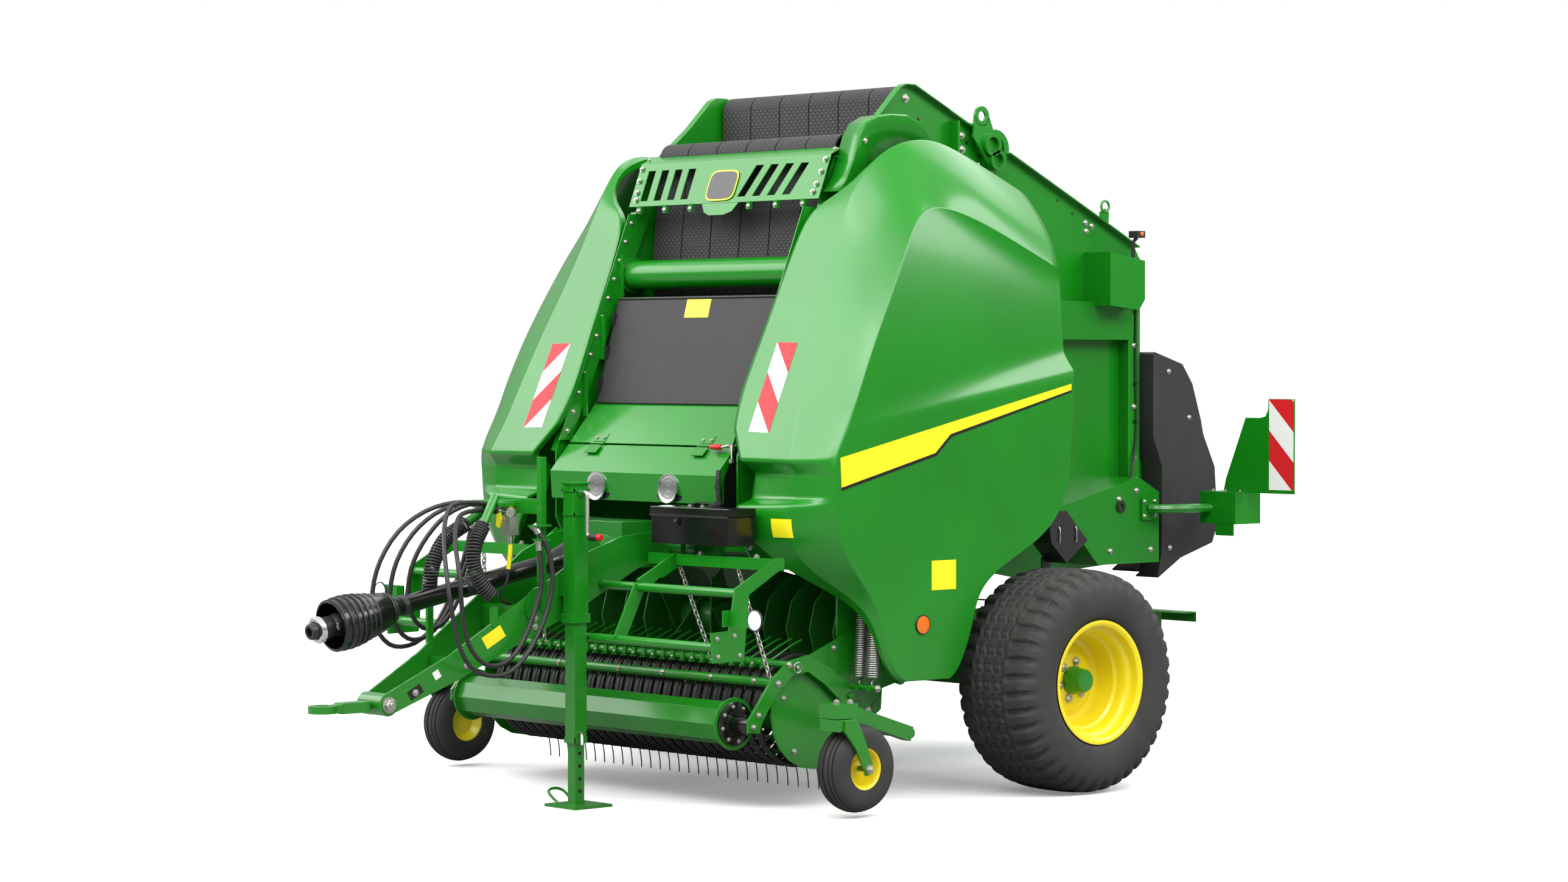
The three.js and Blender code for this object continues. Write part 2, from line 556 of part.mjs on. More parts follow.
function oilTank() {
  const tank = tray([[250, 1215], [370, 1225], [510, 1085], [370, 985], [270, 1080]], 812, 930, 5);
  const lid = plateX([[250, 1215], [370, 1225], [510, 1085], [370, 985], [270, 1080]], 806, 813)
    .subtract(plateX(disc(370, 1110, 30), 800, 820));
  const bracket = block(600 + GAP, 812, 330, 390, 600, 610).add(block(806, 812, 330, 390, 600, 1010));
  return join([tank, lid, bracket]);
}

// ---------------------------------------------------------------- pieces on the gate
function rearCover() {
  const side = [[1142, 1944], [1154, 1952], [1348, 1895], [1420, 1800], [1482, 1625], [1498, 1560], [1582, 1400],
    [1604, 1124], [1565, 1035], [1340, 970], [1180, 880], [1180, 905], [1204, 1000], [1204, 1410], [1142, 1555]];
  const shell = tray(side, 430, 760, 7);
  const slotForWall = plateX([[1000, 800], [1534, 1060], [1534, 1500], [1380, 1870], [1150, 1925], [1000, 1925]], WALL_IN - 6, WALL_OUT + 6);
  const topOfWall = block(WALL_IN - 6, WALL_OUT + 6, 1100, 1196, 1890, 1960);
  const innerFront = block(420, WALL_IN - 6, 1100, 1216, 850, 1960);
  const bracket = block(WALL_OUT + GAP, 756, 1150, 1170, 1560, 1600);
  return shell.subtract(join([slotForWall, topOfWall, innerFront])).add(bracket);
}

function lightArm() {
  const arm = bent([[812, 1060, 1213], [850, 1075, 1213], [905, 1180, 1213], [960, 1380, 1213]], 22, 8, 10);
  const foot = block(800 + GAP, 812, 1010, 1110, 1160, 1265);
  const box = block(890, 1110, 1330, 1510, 1140, 1292).subtract(block(896, 1104, 1336, 1520, 1146, 1286));
  const plate = plateY([[975, 1288], [1410, 1288], [1410, 1732], [1254, 1732], [1250, 1680], [1235, 1650], [1200, 1642], [1112, 1642], [990, 1350]], 1400, 1406);
  const lower = block(985, 1095, 1332, 1338, 1085, 1150);
  return join([arm, foot, box, plate, lower]);
}

function baleRamp() {
  const side = [[960, 742], [1560, 690], [1632, 690], [1632, 640], [1626, 640], [1626, 683], [1560, 683], [960, 735]];
  const floor = plateX(side, -600, 600);
  const arms = [-488, 488].map((x) => plateX([[742, 630], [790, 640], [1500, 690], [1500, 560], [1000, 520], [745, 585]], x - 5, x + 5));
  const pivot = rodX(-490, 490, 765, 608, 18, 16);
  return join([floor, ...arms, pivot]);
}

// ---------------------------------------------------------------- pickup
function pickupFrame() {
  const cheek = plateX(disc(DRUM.y, DRUM.z, DRUM.r + 6), 990, 1000)
    .add(plateX([[-1330, 640], [-870, 815], [-785, 740], [-850, 660], [-868, 400], [-960, 340], [-1180, 240]], 990, 1000));
  const pivotHole = plateX(disc(ROTOR.y, ROTOR.z, 53), 980, 1030);
  const pinPlate = plateX([[-1160, 430], [-1060, 520], [-960, 470], [-900, 330], [-1000, 280]], 1000, 1012);
  const guardPin = rodX(1010, 1048, GUARD_PIVOT.y, GUARD_PIVOT.z, 14, 16);
  const left = join([cheek, pinPlate, guardPin]).subtract(pivotHole);
  const right = solid(mirrored(left));
  const beam = rodX(-1004, 1004, -900, 410, 25, 16);
  return join([left, right, beam]);
}

function pickupBands() {
  const band = [];
  const out = DRUM.r;
  const tail = [[-932, 405], [-940, 412]];
  for (let a = 60; a <= 291; a += 28.75) {
    band.push(around(DRUM.y, DRUM.z, out, a));
  }
  const inner = band.slice().reverse().map(([y, z]) => {
    const k = (out - 5) / out;
    return [DRUM.y + (y - DRUM.y) * k, DRUM.z + (z - DRUM.z) * k];
  });
  const ring = [...band, ...tail, ...inner];
  const strips = [];
  for (let i = 0; i < TINES - 1; i += 3) {
    const x = (i - (TINES - 2) / 2) * TINE_PITCH;
    strips.push(plateX(ring, x - 24, x + 24));
  }
  const carrier = rodX(-950, 950, -937, 408, 9, 10);
  return join([...strips, carrier]);
}

function pickupReel() {
  const { y, z } = REEL;
  const core = rodX(-975, 975, y, z, 32, 20);
  const spiders = [-944, -472, 0, 472, 944].map((x) => join([0, 90].map((a) => {
    const [y0, z0] = around(y, z, REEL.bar, a + 20);
    const [y1, z1] = around(y, z, REEL.bar, a + 200);
    return bar(v3(x, y0, z0), v3(x, y1, z1), 8, 36, v3(0, 1, 0));
  })));
  const rows = [];
  for (let k = 0; k < 4; k += 1) {
    const a = 20 + k * 90;
    const [by, bz] = around(y, z, REEL.bar, a);
    rows.push(rodX(-950, 950, by, bz, 11, 8));
    const [ty, tz] = around(y, z, REEL.tip, a - 4);
    for (let i = 0; i < TINES; i += 4) {
      const x = (i - (TINES - 1) / 2) * TINE_PITCH;
      rows.push(rod(v3(x, by, bz), v3(x, ty, tz), 4, 3));
    }
  }
  return join([core, ...spiders, ...rows]);
}

function windGuard() {
  const arm = [[-1668, 350], [-1668, 400], [-1610, 470], [-1540, 560], [-1440, 640], [-1330, 660], [-1200, 600],
    [-1050, 500], [-1050, 435], [-1110, 430], [-1230, 530], [-1330, 590], [-1420, 575], [-1510, 500], [-1590, 390], [-1605, 345]];
  const bore = plateX(disc(GUARD_PIVOT.y, GUARD_PIVOT.z, 16), 1000, 1060);
  const left = plateX(arm, 1020, 1034).add(rodX(960, 1022, ROLLER.y, ROLLER.z, 20, 16)).subtract(bore);
  const barTube = rodX(-1025, 1025, -1500, 548, 21, 16);
  const rail = rodX(-1025, 1025, -1440, 625, 16, 12);
  const rods = [];
  for (let x = -891; x <= 900; x += 132) {
    rods.push(rod(v3(x, -1478, 608), v3(x, -1235, 715), 5, 4));
  }
  return join([left, solid(mirrored(left)), barTube, rail, ...rods]);
}

function windrowRoller() {
  const faces = rodX(-ROLLER.half, ROLLER.half, ROLLER.y, ROLLER.z, ROLLER.r, 8);
  const discs = [-1, 1].map((s) => rodX(s * (ROLLER.half - 6), s * (ROLLER.half + 2), ROLLER.y, ROLLER.z, ROLLER.disc, 32));
  const hubs = [-1, 1].map((s) => rodX(s * ROLLER.half, s * 930, ROLLER.y, ROLLER.z, 55, 20));
  const bores = [-1, 1].map((s) => rodX(s * 935, s * 955, ROLLER.y, ROLLER.z, 22, 16));
  return join([faces, ...discs, ...hubs]).subtract(join(bores));
}

function gaugeArm() {
  const beam = bar(v3(1300, -1400, 452), v3(1262, -960, 318), 50, 62);
  const pivot = rodX(1012 + GAP, 1290, -965, 322, 22, 16);
  const head = block(1310, 1420, -1520, -1400, 425, 485).add(block(1270, 1330, -1430, -1380, 425, 480));
  return join([beam, pivot, head]);
}

function gaugeCaster() {
  const { x, y, wheelY, wheelZ } = CASTER;
  const cap = plateX([[y - 48, 422], [y + 48, 422], [y + 48, 399], [y + 5, 386], [y - 48, 373]], x - 50, x + 73);
  const pin = rod(v3(x, y, 421), v3(x, y, 424.6), 20, 16);
  const fork = plateX([[-1500, 420], [-1430, 420], [-1385, 330], [-1345, 230], [-1345, 190], [-1380, 182], [-1395, 215], [-1440, 300], [-1500, 372]], x + 72, x + 84);
  const stub = rodX(x + 20, x + 74, wheelY, wheelZ, 12, 12);
  return join([cap, pin, fork, stub]);
}

// ---------------------------------------------------------------- hoses that hang free
const HOSES = {
  hose_outer: [[-185, -2190, 1290], [-195, -2250, 1300], [-220, -2400, 1270], [-245, -2540, 1180], [-265, -2630, 1040],
    [-278, -2655, 900], [-285, -2630, 770], [-285, -2550, 690], [-280, -2440, 690], [-275, -2330, 760],
    [-268, -2250, 880], [-255, -2190, 1030], [-245, -2150, 1180]],
  hose_middle: [[-145, -2190, 1290], [-152, -2250, 1298], [-180, -2380, 1260], [-210, -2490, 1170], [-232, -2565, 1040],
    [-245, -2585, 900], [-248, -2555, 780], [-248, -2480, 715], [-246, -2385, 725], [-242, -2300, 800],
    [-236, -2235, 920], [-228, -2180, 1050], [-215, -2145, 1180]],
  hose_inner: [[-105, -2190, 1290], [-112, -2240, 1296], [-140, -2350, 1255], [-172, -2440, 1160], [-198, -2500, 1040],
    [-210, -2515, 920], [-213, -2490, 815], [-213, -2425, 760], [-213, -2340, 770], [-211, -2270, 840],
    [-206, -2215, 950], [-198, -2170, 1060], [-185, -2135, 1180]],
  hose_long: [[-20, -2190, 1290], [-20, -2310, 1305], [0, -2430, 1300], [75, -2530, 1240], [155, -2597, 1130],
    [225, -2635, 1010], [248, -2640, 930], [250, -2625, 850], [250, -2587, 712], [250, -2525, 622], [250, -2426, 585],
    [250, -2330, 592], [250, -2240, 655], [250, -2157, 769], [250, -2100, 910], [248, -2092, 1030],
    [236, -2115, 1130], [218, -2140, 1175]],
  hose_short: [[-20, -2190, 1262], [-18, -2300, 1270], [5, -2395, 1255], [70, -2470, 1205], [140, -2525, 1130],
    [195, -2553, 1050], [220, -2561, 970], [222, -2549, 829], [222, -2513, 709], [222, -2438, 635], [222, -2351, 625],
    [222, -2260, 680], [222, -2180, 811], [222, -2134, 940], [219, -2130, 1030], [212, -2132, 1100]],
};

// curly cables: each is one tube of the curl's outer diameter
const COILS = {
  coil_cable_right: [[-90, -2290, 1215], [-105, -2390, 1150], [-110, -2450, 1060], [-112, -2472, 970], [-120, -2466, 904]],
  coil_cable_left: [[78, -2330, 1215], [98, -2392, 1130], [106, -2404, 1040], [122, -2372, 960], [140, -2325, 905]],
};

// ---------------------------------------------------------------- assembly
addPair('side_frame', sideFrame(), GREEN);
add('main_frame', mainFrame(), GREEN);
add('axle', axle(), GREEN);
add('drawbar', drawbar(), GREEN);
add('hitch_ring', hitchRing(), GREEN);
add('gearbox', gearbox(), CAST);
add('pto_guard', ptoGuard(), GLOSS_BLACK);
add('pto_shaft', ptoShaft(), STEEL);
add('hose_holder', supportPost(), GREEN);
add('jack_tube', jackTube(), GREEN);
add('jack_leg', jackLeg(), GREEN);
add('jack_foot', jackFoot(), GREEN);
add('toolbox', toolbox(), GLOSS_BLACK);
add('toolbox_lid', toolboxLid(), GLOSS_BLACK);
addPair('front_guard', frontGuard(), GREEN);
add('front_hood', frontHood(), GREEN);
add('net_box_lid', netLid(), GREEN);
add('net_cover', netCover(), GREY_PLASTIC);
add('grille_panel', grillePanel(), GREEN);
add('front_roller', frontRoller(), GREEN);
add('feed_housing', feedHousing(), GREEN);
add('feed_rotor', feedRotor(), GREEN);
add('oil_tank', oilTank(), GREY_PLASTIC);
add('front_belts', loopBelt(rounded([
  [-360, 3052, 72, 60, 150], [-668, 2850, 60, 140, 185], [-770, 2330, 40, 185, 230], [-560, 1120, 45, 200, 300],
  [-470, 1150, 45, 300, 360],
]), 8, 598), BLACK_RUBBER);
add('gate_belts', loopBelt(GATE_BELT, 8, 598), BLACK_RUBBER);
addPair('gate_side', gateSide(), GREEN);
add('gate_back', gateBack(), GREEN);
addPair('rear_cover', rearCover(), GREY_PLASTIC);
addPair('light_arm', lightArm(), GREEN);
add('bale_ramp', baleRamp(), GREEN);
addPair('side_door', sideDoor(), GREEN);
addPair('wheel_tyre', tyre(), TYRE);
addPair('wheel_rim', rim(), YELLOW);
add('pickup_frame', pickupFrame(), GREEN);
add('pickup_bands', pickupBands(), GREY_PLASTIC);
add('pickup_reel', pickupReel(), GREY_PLASTIC);
add('wind_guard', windGuard(), GREEN);
add('windrow_roller', windrowRoller(), GREEN);
addPair('gauge_arm', gaugeArm(), GREEN);
addPair('gauge_caster', gaugeCaster(), GREEN);
addPair('gauge_wheel', gaugeWheel(), TYRE);
Object.entries(HOSES).forEach(([name, points]) => add(name, bent(points, 10, 8, 22), BLACK_RUBBER));
Object.entries(COILS).forEach(([name, points]) => add(name, bent(points, 35, 12, 6), BLACK_RUBBER));

export default baler;
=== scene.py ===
# %% [markdown]
# # A towed round baler
# The machine's solids come packed as a fixed frame: every panel, tube and wheel is already at its real
# place, in metres, and grouped into bodies that turn or slide. This lesson gives them their finish and
# builds what the solids leave out: tread, bolts, springs, hoses, belts, lamps and stripes.

# %% Load the frame
import json
import math

import bmesh
import bpy
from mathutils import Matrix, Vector
from mathutils.bvhtree import BVHTree


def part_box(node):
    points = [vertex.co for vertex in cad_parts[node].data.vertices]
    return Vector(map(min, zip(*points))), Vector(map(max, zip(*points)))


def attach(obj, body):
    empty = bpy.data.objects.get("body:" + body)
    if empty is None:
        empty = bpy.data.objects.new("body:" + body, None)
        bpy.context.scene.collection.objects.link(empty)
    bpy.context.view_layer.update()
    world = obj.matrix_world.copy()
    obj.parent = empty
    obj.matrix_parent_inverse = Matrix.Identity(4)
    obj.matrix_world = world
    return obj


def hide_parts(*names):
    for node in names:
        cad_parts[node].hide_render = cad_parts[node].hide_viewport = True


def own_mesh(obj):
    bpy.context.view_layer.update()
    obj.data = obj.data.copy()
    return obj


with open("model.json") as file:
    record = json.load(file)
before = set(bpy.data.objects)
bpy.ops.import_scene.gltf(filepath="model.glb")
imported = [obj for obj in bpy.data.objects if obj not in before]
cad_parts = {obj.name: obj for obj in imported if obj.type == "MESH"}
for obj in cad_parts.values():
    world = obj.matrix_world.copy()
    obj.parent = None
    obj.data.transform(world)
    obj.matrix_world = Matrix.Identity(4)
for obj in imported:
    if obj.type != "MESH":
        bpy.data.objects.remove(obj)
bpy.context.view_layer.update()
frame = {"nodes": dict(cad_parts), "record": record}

# %% [markdown]
# All sizes below are measured from the wheels' axle, because that is how a maker would tape the machine.
# `at` turns such a point into the frame: x is left of the middle, y is behind the axle, z is above ground.

# %% Where the axle is
rim_low, rim_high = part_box("wheel_rim_left")
AXLE_Y = (rim_low.y + rim_high.y) / 2
AXLE_Z = (rim_low.z + rim_high.z) / 2
WHEEL_X = (rim_low.x + rim_high.x) / 2


def at(x, y, z):
    return Vector((x, y + AXLE_Y, z))


# The machine is the same on both sides: every pair is made by going through these two.
SIDES = ((1, "left"), (-1, "right"))
LEFT, BACK, UP = Vector((1, 0, 0)), Vector((0, 1, 0)), Vector((0, 0, 1))


def put_in_scene(name, data):
    piece = bpy.data.objects.new(name, data)
    bpy.context.scene.collection.objects.link(piece)
    return piece


print("axle at y", round(AXLE_Y, 3), "and z", round(AXLE_Z, 3))

# %% [markdown]
# ## Camera
# A long lens from the front left, a little above the middle of the machine and nearly level, shows the
# drawbar, the pickup and the left door at once and keeps the upright lines upright.

# %% Camera
lens = bpy.data.cameras.new("camera")
lens.lens = 86.2
lens.sensor_width = 36
lens.clip_end = 200
camera = put_in_scene("camera", lens)
bpy.context.scene.camera = camera
camera.location = at(12.79, -12.105, 1.922)
turn, dip = math.radians(47.86), math.radians(1.26)
look = Vector((-math.sin(turn) * math.cos(dip), math.cos(turn) * math.cos(dip), -math.sin(dip)))
camera.rotation_mode = "QUATERNION"
camera.rotation_quaternion = look.to_track_quat("-Z", "Y")
print("camera looks along", [round(v, 3) for v in look])

# %% [markdown]
# ## Finishes
# A colour is written as a paint maker would give it, an sRGB hex code, and one function turns it into
# the linear values that Blender mixes with. One more function adds a node with its settings and links.

# %% Colour and node helpers
def colour(code):
    parts = [int(code[i:i + 2], 16) / 255 for i in (1, 3, 5)]
    linear = [v / 12.92 if v <= 0.04045 else ((v + 0.055) / 1.055) ** 2.4 for v in parts]
    return (*linear, 1.0)


def add(tree, kind, settings=None, links=None, stops=()):
    """Adds one node; settings are its own options, links fill its sockets by value or from another socket.
    Stops are the (position, colour) pairs of a node that has a colour ramp."""
    node = tree.nodes.new(kind)
    for name, value in (settings or {}).items():
        setattr(node, name, value)
    for n, (place, shade) in enumerate(stops):
        band = node.color_ramp.elements
        mark = band[n] if n < len(band) else band.new(place)
        mark.position, mark.color = place, shade
    for name, value in (links or {}).items():
        if isinstance(value, bpy.types.NodeSocket):
            tree.links.new(value, node.inputs[name])
        else:
            node.inputs[name].default_value = value
    return node


def blank(name):
    print("finish:", name)
    material = bpy.data.materials.new(name)
    material.use_nodes = True
    tree = material.node_tree
    tree.nodes.clear()
    return material, tree


print("a mid green is", [round(v, 3) for v in colour("#2f8f2b")])

# %% [markdown]
# ### Sprayed enamel on steel sheet
# Most of the machine is pressed steel under a glossy two-coat enamel. The eye sees a deep colour under a
# clear, slightly rippled gloss, the faint orange peel of spray, and road dust low down. The colour is mixed
# from two near shades by slow noise, the ripple is a bump of a few millimetres, and dust thins with height.

# %% Enamel
def enamel(name, shade, second, dust="#8a8468", dust_share=0.10, rough=0.26):
    material, tree = blank(name)
    spot = add(tree, "ShaderNodeTexCoord").outputs["Object"]
    slow = add(tree, "ShaderNodeTexNoise", {}, {"Vector": spot, "Scale": 1.7, "Detail": 3.0})
    base = add(tree, "ShaderNodeValToRGB", {}, {"Fac": slow.outputs["Fac"]},
               [(0.35, colour(shade)), (0.7, colour(second))]).outputs["Color"]
    height = add(tree, "ShaderNodeSeparateXYZ", {}, {"Vector": spot})
    low = add(tree, "ShaderNodeMapRange", {}, {"Value": height.outputs["Z"], "From Min": 1.1, "From Max": 0.0,
                                               "To Min": 0.0, "To Max": dust_share})
    grain = add(tree, "ShaderNodeTexNoise", {}, {"Vector": spot, "Scale": 26.0, "Detail": 6.0})
    share = add(tree, "ShaderNodeMath", {"operation": "MULTIPLY"},
                {0: low.outputs["Result"], 1: grain.outputs["Fac"]})
    mixed = add(tree, "ShaderNodeMix", {"data_type": "RGBA"},
                {"Factor": share.outputs[0], 6: base, 7: colour(dust)})
    peel = add(tree, "ShaderNodeTexNoise", {}, {"Vector": spot, "Scale": 260.0, "Detail": 2.0})
    bump = add(tree, "ShaderNodeBump", {}, {"Height": peel.outputs["Fac"], "Strength": 0.02, "Distance": 0.002})
    gloss = add(tree, "ShaderNodeMapRange", {}, {"Value": slow.outputs["Fac"], "To Min": rough - 0.03,
                                                 "To Max": rough + 0.04})
    shader = add(tree, "ShaderNodeBsdfPrincipled", {}, {
        "Base Color": mixed.outputs[2], "Roughness": gloss.outputs["Result"], "Normal": bump.outputs["Normal"],
        "IOR": 1.5, "Coat Weight": 0.25, "Coat Roughness": 0.12})
    add(tree, "ShaderNodeOutputMaterial", {}, {"Surface": shader.outputs["BSDF"]})
    return material


FIELD_GREEN = enamel("enamel_field_green", "#118013", "#0e760f")
STRAW_YELLOW = enamel("enamel_straw_yellow", "#f0dc18", "#ecd30e", rough=0.3)
GREEN_CASTING = enamel("enamel_on_casting", "#14781a", "#116c15", dust_share=0.3, rough=0.4)

# %% [markdown]
# ### Moulded plastics and rubbers
# Polypropylene covers are dark grey with a fine spark-eroded grain, so they look soft and slightly hazy.
# Tyre and hose rubber are carbon black compounds: darker, matt, with a dry bloom where nothing rubs. Powder
# coat is smoother and shinier, vinyl film is smooth and even, and acrylic lenses are bright and glassy.
# One recipe serves them all, with its own shade, roughness, grain size and grain depth.

# %% Grained plastics and rubbers
def moulded(name, shade, second, rough, grain_mm, depth, specular=0.5):
    material, tree = blank(name)
    spot = add(tree, "ShaderNodeTexCoord").outputs["Object"]
    bloom = add(tree, "ShaderNodeTexNoise", {}, {"Vector": spot, "Scale": 7.0, "Detail": 5.0})
    base = add(tree, "ShaderNodeValToRGB", {}, {"Fac": bloom.outputs["Fac"]},
               [(0.3, colour(shade)), (0.75, colour(second))]).outputs["Color"]
    grain = add(tree, "ShaderNodeTexNoise", {}, {"Vector": spot, "Scale": 1000.0 / (grain_mm * 3), "Detail": 3.0})
    bump = add(tree, "ShaderNodeBump", {}, {"Height": grain.outputs["Fac"], "Strength": depth, "Distance": 0.002})
    matt = add(tree, "ShaderNodeMapRange", {}, {"Value": bloom.outputs["Fac"], "To Min": rough - 0.06,
                                                "To Max": rough + 0.06})
    shader = add(tree, "ShaderNodeBsdfPrincipled", {}, {
        "Base Color": base, "Roughness": matt.outputs["Result"], "Normal": bump.outputs["Normal"],
        "IOR": 1.5, "Specular IOR Level": specular})
    add(tree, "ShaderNodeOutputMaterial", {}, {"Surface": shader.outputs["BSDF"]})
    return material


COVER_PLASTIC = moulded("polypropylene_cover", "#333333", "#3a3a3a", 0.5, 1.5, 0.12, 0.22)
BLACK_PLASTIC = moulded("polyamide_black", "#1c1c1c", "#262626", 0.42, 1.2, 0.10)
GLOSS_BLACK = moulded("powder_coat_black", "#0c0c0c", "#131313", 0.18, 2.0, 0.03, 0.6)
TYRE_RUBBER = moulded("tyre_rubber", "#2e2e2e", "#3c3b39", 0.72, 2.0, 0.18, 0.35)
HOSE_RUBBER = moulded("hose_rubber", "#202020", "#2b2b2b", 0.5, 1.0, 0.10)
REFLECTOR_WHITE = moulded("reflector_white", "#e9edf2", "#dfe5ec", 0.2, 3.0, 0.10, 0.7)
AMBER_LENS = moulded("reflector_amber", "#e8760c", "#d9660a", 0.15, 3.0, 0.12, 0.7)
RED_PLASTIC = moulded("plastic_red", "#c1121a", "#a90f16", 0.35, 1.5, 0.05)
STICKER_YELLOW = moulded("vinyl_yellow", "#f3e51c", "#f0e010", 0.35, 3.0, 0.01)
# This black is a real black label on the drawbar, and also painted shade: discs in holes and the painted shadow under
# the door stripes.
BLACK_VINYL_AND_PAINTED_SHADE = moulded("vinyl_black_and_painted_shade", "#101010", "#161616", 0.35, 3.0, 0.01)
STICKER_WHITE = moulded("vinyl_white", "#f2f2f0", "#eceae6", 0.35, 3.0, 0.01)

# %% [markdown]
# ### Bare and plated metal
# Bolts are zinc plated: pale grey with a faint cloudy bloom. Spring steel is darker, and tines that rub on
# crop are worn to dull steel. The work lamps' bowls are chromed, so they mirror like glass.

# %% Metals
def metal(name, shade, second, rough, cloud=9.0):
    material, tree = blank(name)
    spot = add(tree, "ShaderNodeTexCoord").outputs["Object"]
    bloom = add(tree, "ShaderNodeTexNoise", {}, {"Vector": spot, "Scale": cloud, "Detail": 6.0})
    base = add(tree, "ShaderNodeValToRGB", {}, {"Fac": bloom.outputs["Fac"]},
               [(0.3, colour(shade)), (0.75, colour(second))]).outputs["Color"]
    scuff = add(tree, "ShaderNodeTexNoise", {}, {"Vector": spot, "Scale": 140.0, "Detail": 4.0})
    matt = add(tree, "ShaderNodeMapRange", {}, {"Value": scuff.outputs["Fac"], "To Min": rough - 0.08,
                                                "To Max": rough + 0.12})
    shader = add(tree, "ShaderNodeBsdfPrincipled", {}, {
        "Base Color": base, "Roughness": matt.outputs["Result"], "Metallic": 1.0})
    add(tree, "ShaderNodeOutputMaterial", {}, {"Surface": shader.outputs["BSDF"]})
    return material


ZINC = metal("zinc_plate", "#c9c8c0", "#b4b3aa", 0.34, 60.0)
SPRING_STEEL = metal("spring_steel", "#b9b8b4", "#9d9c98", 0.3)
WORN_STEEL = metal("worn_steel", "#6e6c68", "#55534f", 0.45)
CHROME = metal("chrome_bowl", "#e4e4e4", "#d8d8d8", 0.12)

# %% [markdown]
# ### Woven belt
# A baler belt is nylon weave between two layers of rubber. Its outer face is moulded with small diamonds
# about 22 mm wide, which grip the bale. Two crossed waves give the diamonds: one bump, and a darker colour in
# the sunken grooves, which is painted shade.

# %% Belt rubber with diamonds
def diamond_belt(name, shade, groove_shade, pitch):
    material, tree = blank(name)
    spot = add(tree, "ShaderNodeTexCoord").outputs["Object"]
    parts = add(tree, "ShaderNodeSeparateXYZ", {}, {"Vector": spot})
    along = add(tree, "ShaderNodeMath", {"operation": "ADD"}, {0: parts.outputs["Z"], 1: parts.outputs["Y"]})
    turns = math.tau / pitch
    waves = []
    for sign in (1.0, -1.0):
        side = add(tree, "ShaderNodeMath", {"operation": "MULTIPLY"}, {0: parts.outputs["X"], 1: sign})
        both = add(tree, "ShaderNodeMath", {"operation": "ADD"}, {0: side.outputs[0], 1: along.outputs[0]})
        angle = add(tree, "ShaderNodeMath", {"operation": "MULTIPLY"}, {0: both.outputs[0], 1: turns})
        waves.append(add(tree, "ShaderNodeMath", {"operation": "COSINE"}, {0: angle.outputs[0]}))
    weave = add(tree, "ShaderNodeMath", {"operation": "MAXIMUM"}, {0: waves[0].outputs[0], 1: waves[1].outputs[0]})
    # The sunken grooves get the darker second colour: painted shade in the recesses.
    base = add(tree, "ShaderNodeValToRGB", {}, {"Fac": weave.outputs[0]},
               [(0.75, colour(shade)), (0.95, colour(groove_shade))]).outputs["Color"]
    bump = add(tree, "ShaderNodeBump", {"invert": True}, {"Height": weave.outputs[0], "Strength": 0.5,
                                                          "Distance": 0.003})
    shader = add(tree, "ShaderNodeBsdfPrincipled", {}, {
        "Base Color": base, "Roughness": 0.7, "Normal": bump.outputs["Normal"], "IOR": 1.5})
    add(tree, "ShaderNodeOutputMaterial", {}, {"Surface": shader.outputs["BSDF"]})
    return material


# The second colour, #1a1a1a, is painted shade in the belt's grooves.
BELT = diamond_belt("belt_rubber", "#353535", "#1a1a1a", 0.030)

# %% [markdown]
# ### Hazard film
# Boards and doors carry red and white reflecting film in slanted bands, about 100 mm wide across the slant.
# A sine of the sum of x and z makes 45 degree bands, and a hard ramp cuts it into two colours.

# %% Hazard film
def hazard_film(name, lean, band, start):
    """Red above the line x * lean + z = start, then white, red and so on downwards, each band wide."""
    material, tree = blank(name)
    spot = add(tree, "ShaderNodeTexCoord").outputs["Object"]
    parts = add(tree, "ShaderNodeSeparateXYZ", {}, {"Vector": spot})
    side = add(tree, "ShaderNodeMath", {"operation": "MULTIPLY"}, {0: parts.outputs["X"], 1: lean})
    both = add(tree, "ShaderNodeMath", {"operation": "ADD"}, {0: side.outputs[0], 1: parts.outputs["Z"]})
    past = add(tree, "ShaderNodeMath", {"operation": "SUBTRACT"}, {0: both.outputs[0], 1: start})
    angle = add(tree, "ShaderNodeMath", {"operation": "MULTIPLY"}, {0: past.outputs[0], 1: math.pi / band})
    wave = add(tree, "ShaderNodeMath", {"operation": "SINE"}, {0: angle.outputs[0]})
    lifted = add(tree, "ShaderNodeMath", {"operation": "ADD"}, {0: wave.outputs[0], 1: 0.5})
    base = add(tree, "ShaderNodeValToRGB", {}, {"Fac": lifted.outputs[0]},
               [(0.495, colour("#f4f2f0")), (0.505, colour("#d8202a"))]).outputs["Color"]
    cells = add(tree, "ShaderNodeTexVoronoi", {}, {"Vector": spot, "Scale": 300.0})
    bump = add(tree, "ShaderNodeBump", {}, {"Height": cells.outputs["Distance"], "Strength": 0.05,
                                            "Distance": 0.001})
    shader = add(tree, "ShaderNodeBsdfPrincipled", {}, {
        "Base Color": base, "Roughness": 0.4, "Normal": bump.outputs["Normal"], "Specular IOR Level": 0.3})
    add(tree, "ShaderNodeOutputMaterial", {}, {"Surface": shader.outputs["BSDF"]})
    return material


DOOR_FILM_LEFT = hazard_film("hazard_film_door_left", 1.0, 0.1283, 2.704)
DOOR_FILM_RIGHT = hazard_film("hazard_film_door_right", -1.0, 0.1283, 2.704)
BOARD_FILM_LEFT = hazard_film("hazard_film_board_left", 1.0, 0.1414, 2.984)
BOARD_FILM_RIGHT = hazard_film("hazard_film_board_right", -1.0, 0.1414, 2.984)

# %% [markdown]
# ## Tools for making pieces
# A few plain shapes make nearly everything: a prism from an outline, a turned profile, a tube along a
# route, and a hexagon bolt. Each adds its faces to one mesh, so a row of bolts is one piece. `shape` turns
# the mesh into a piece, smooths what should look round, gives it its finish and its body.

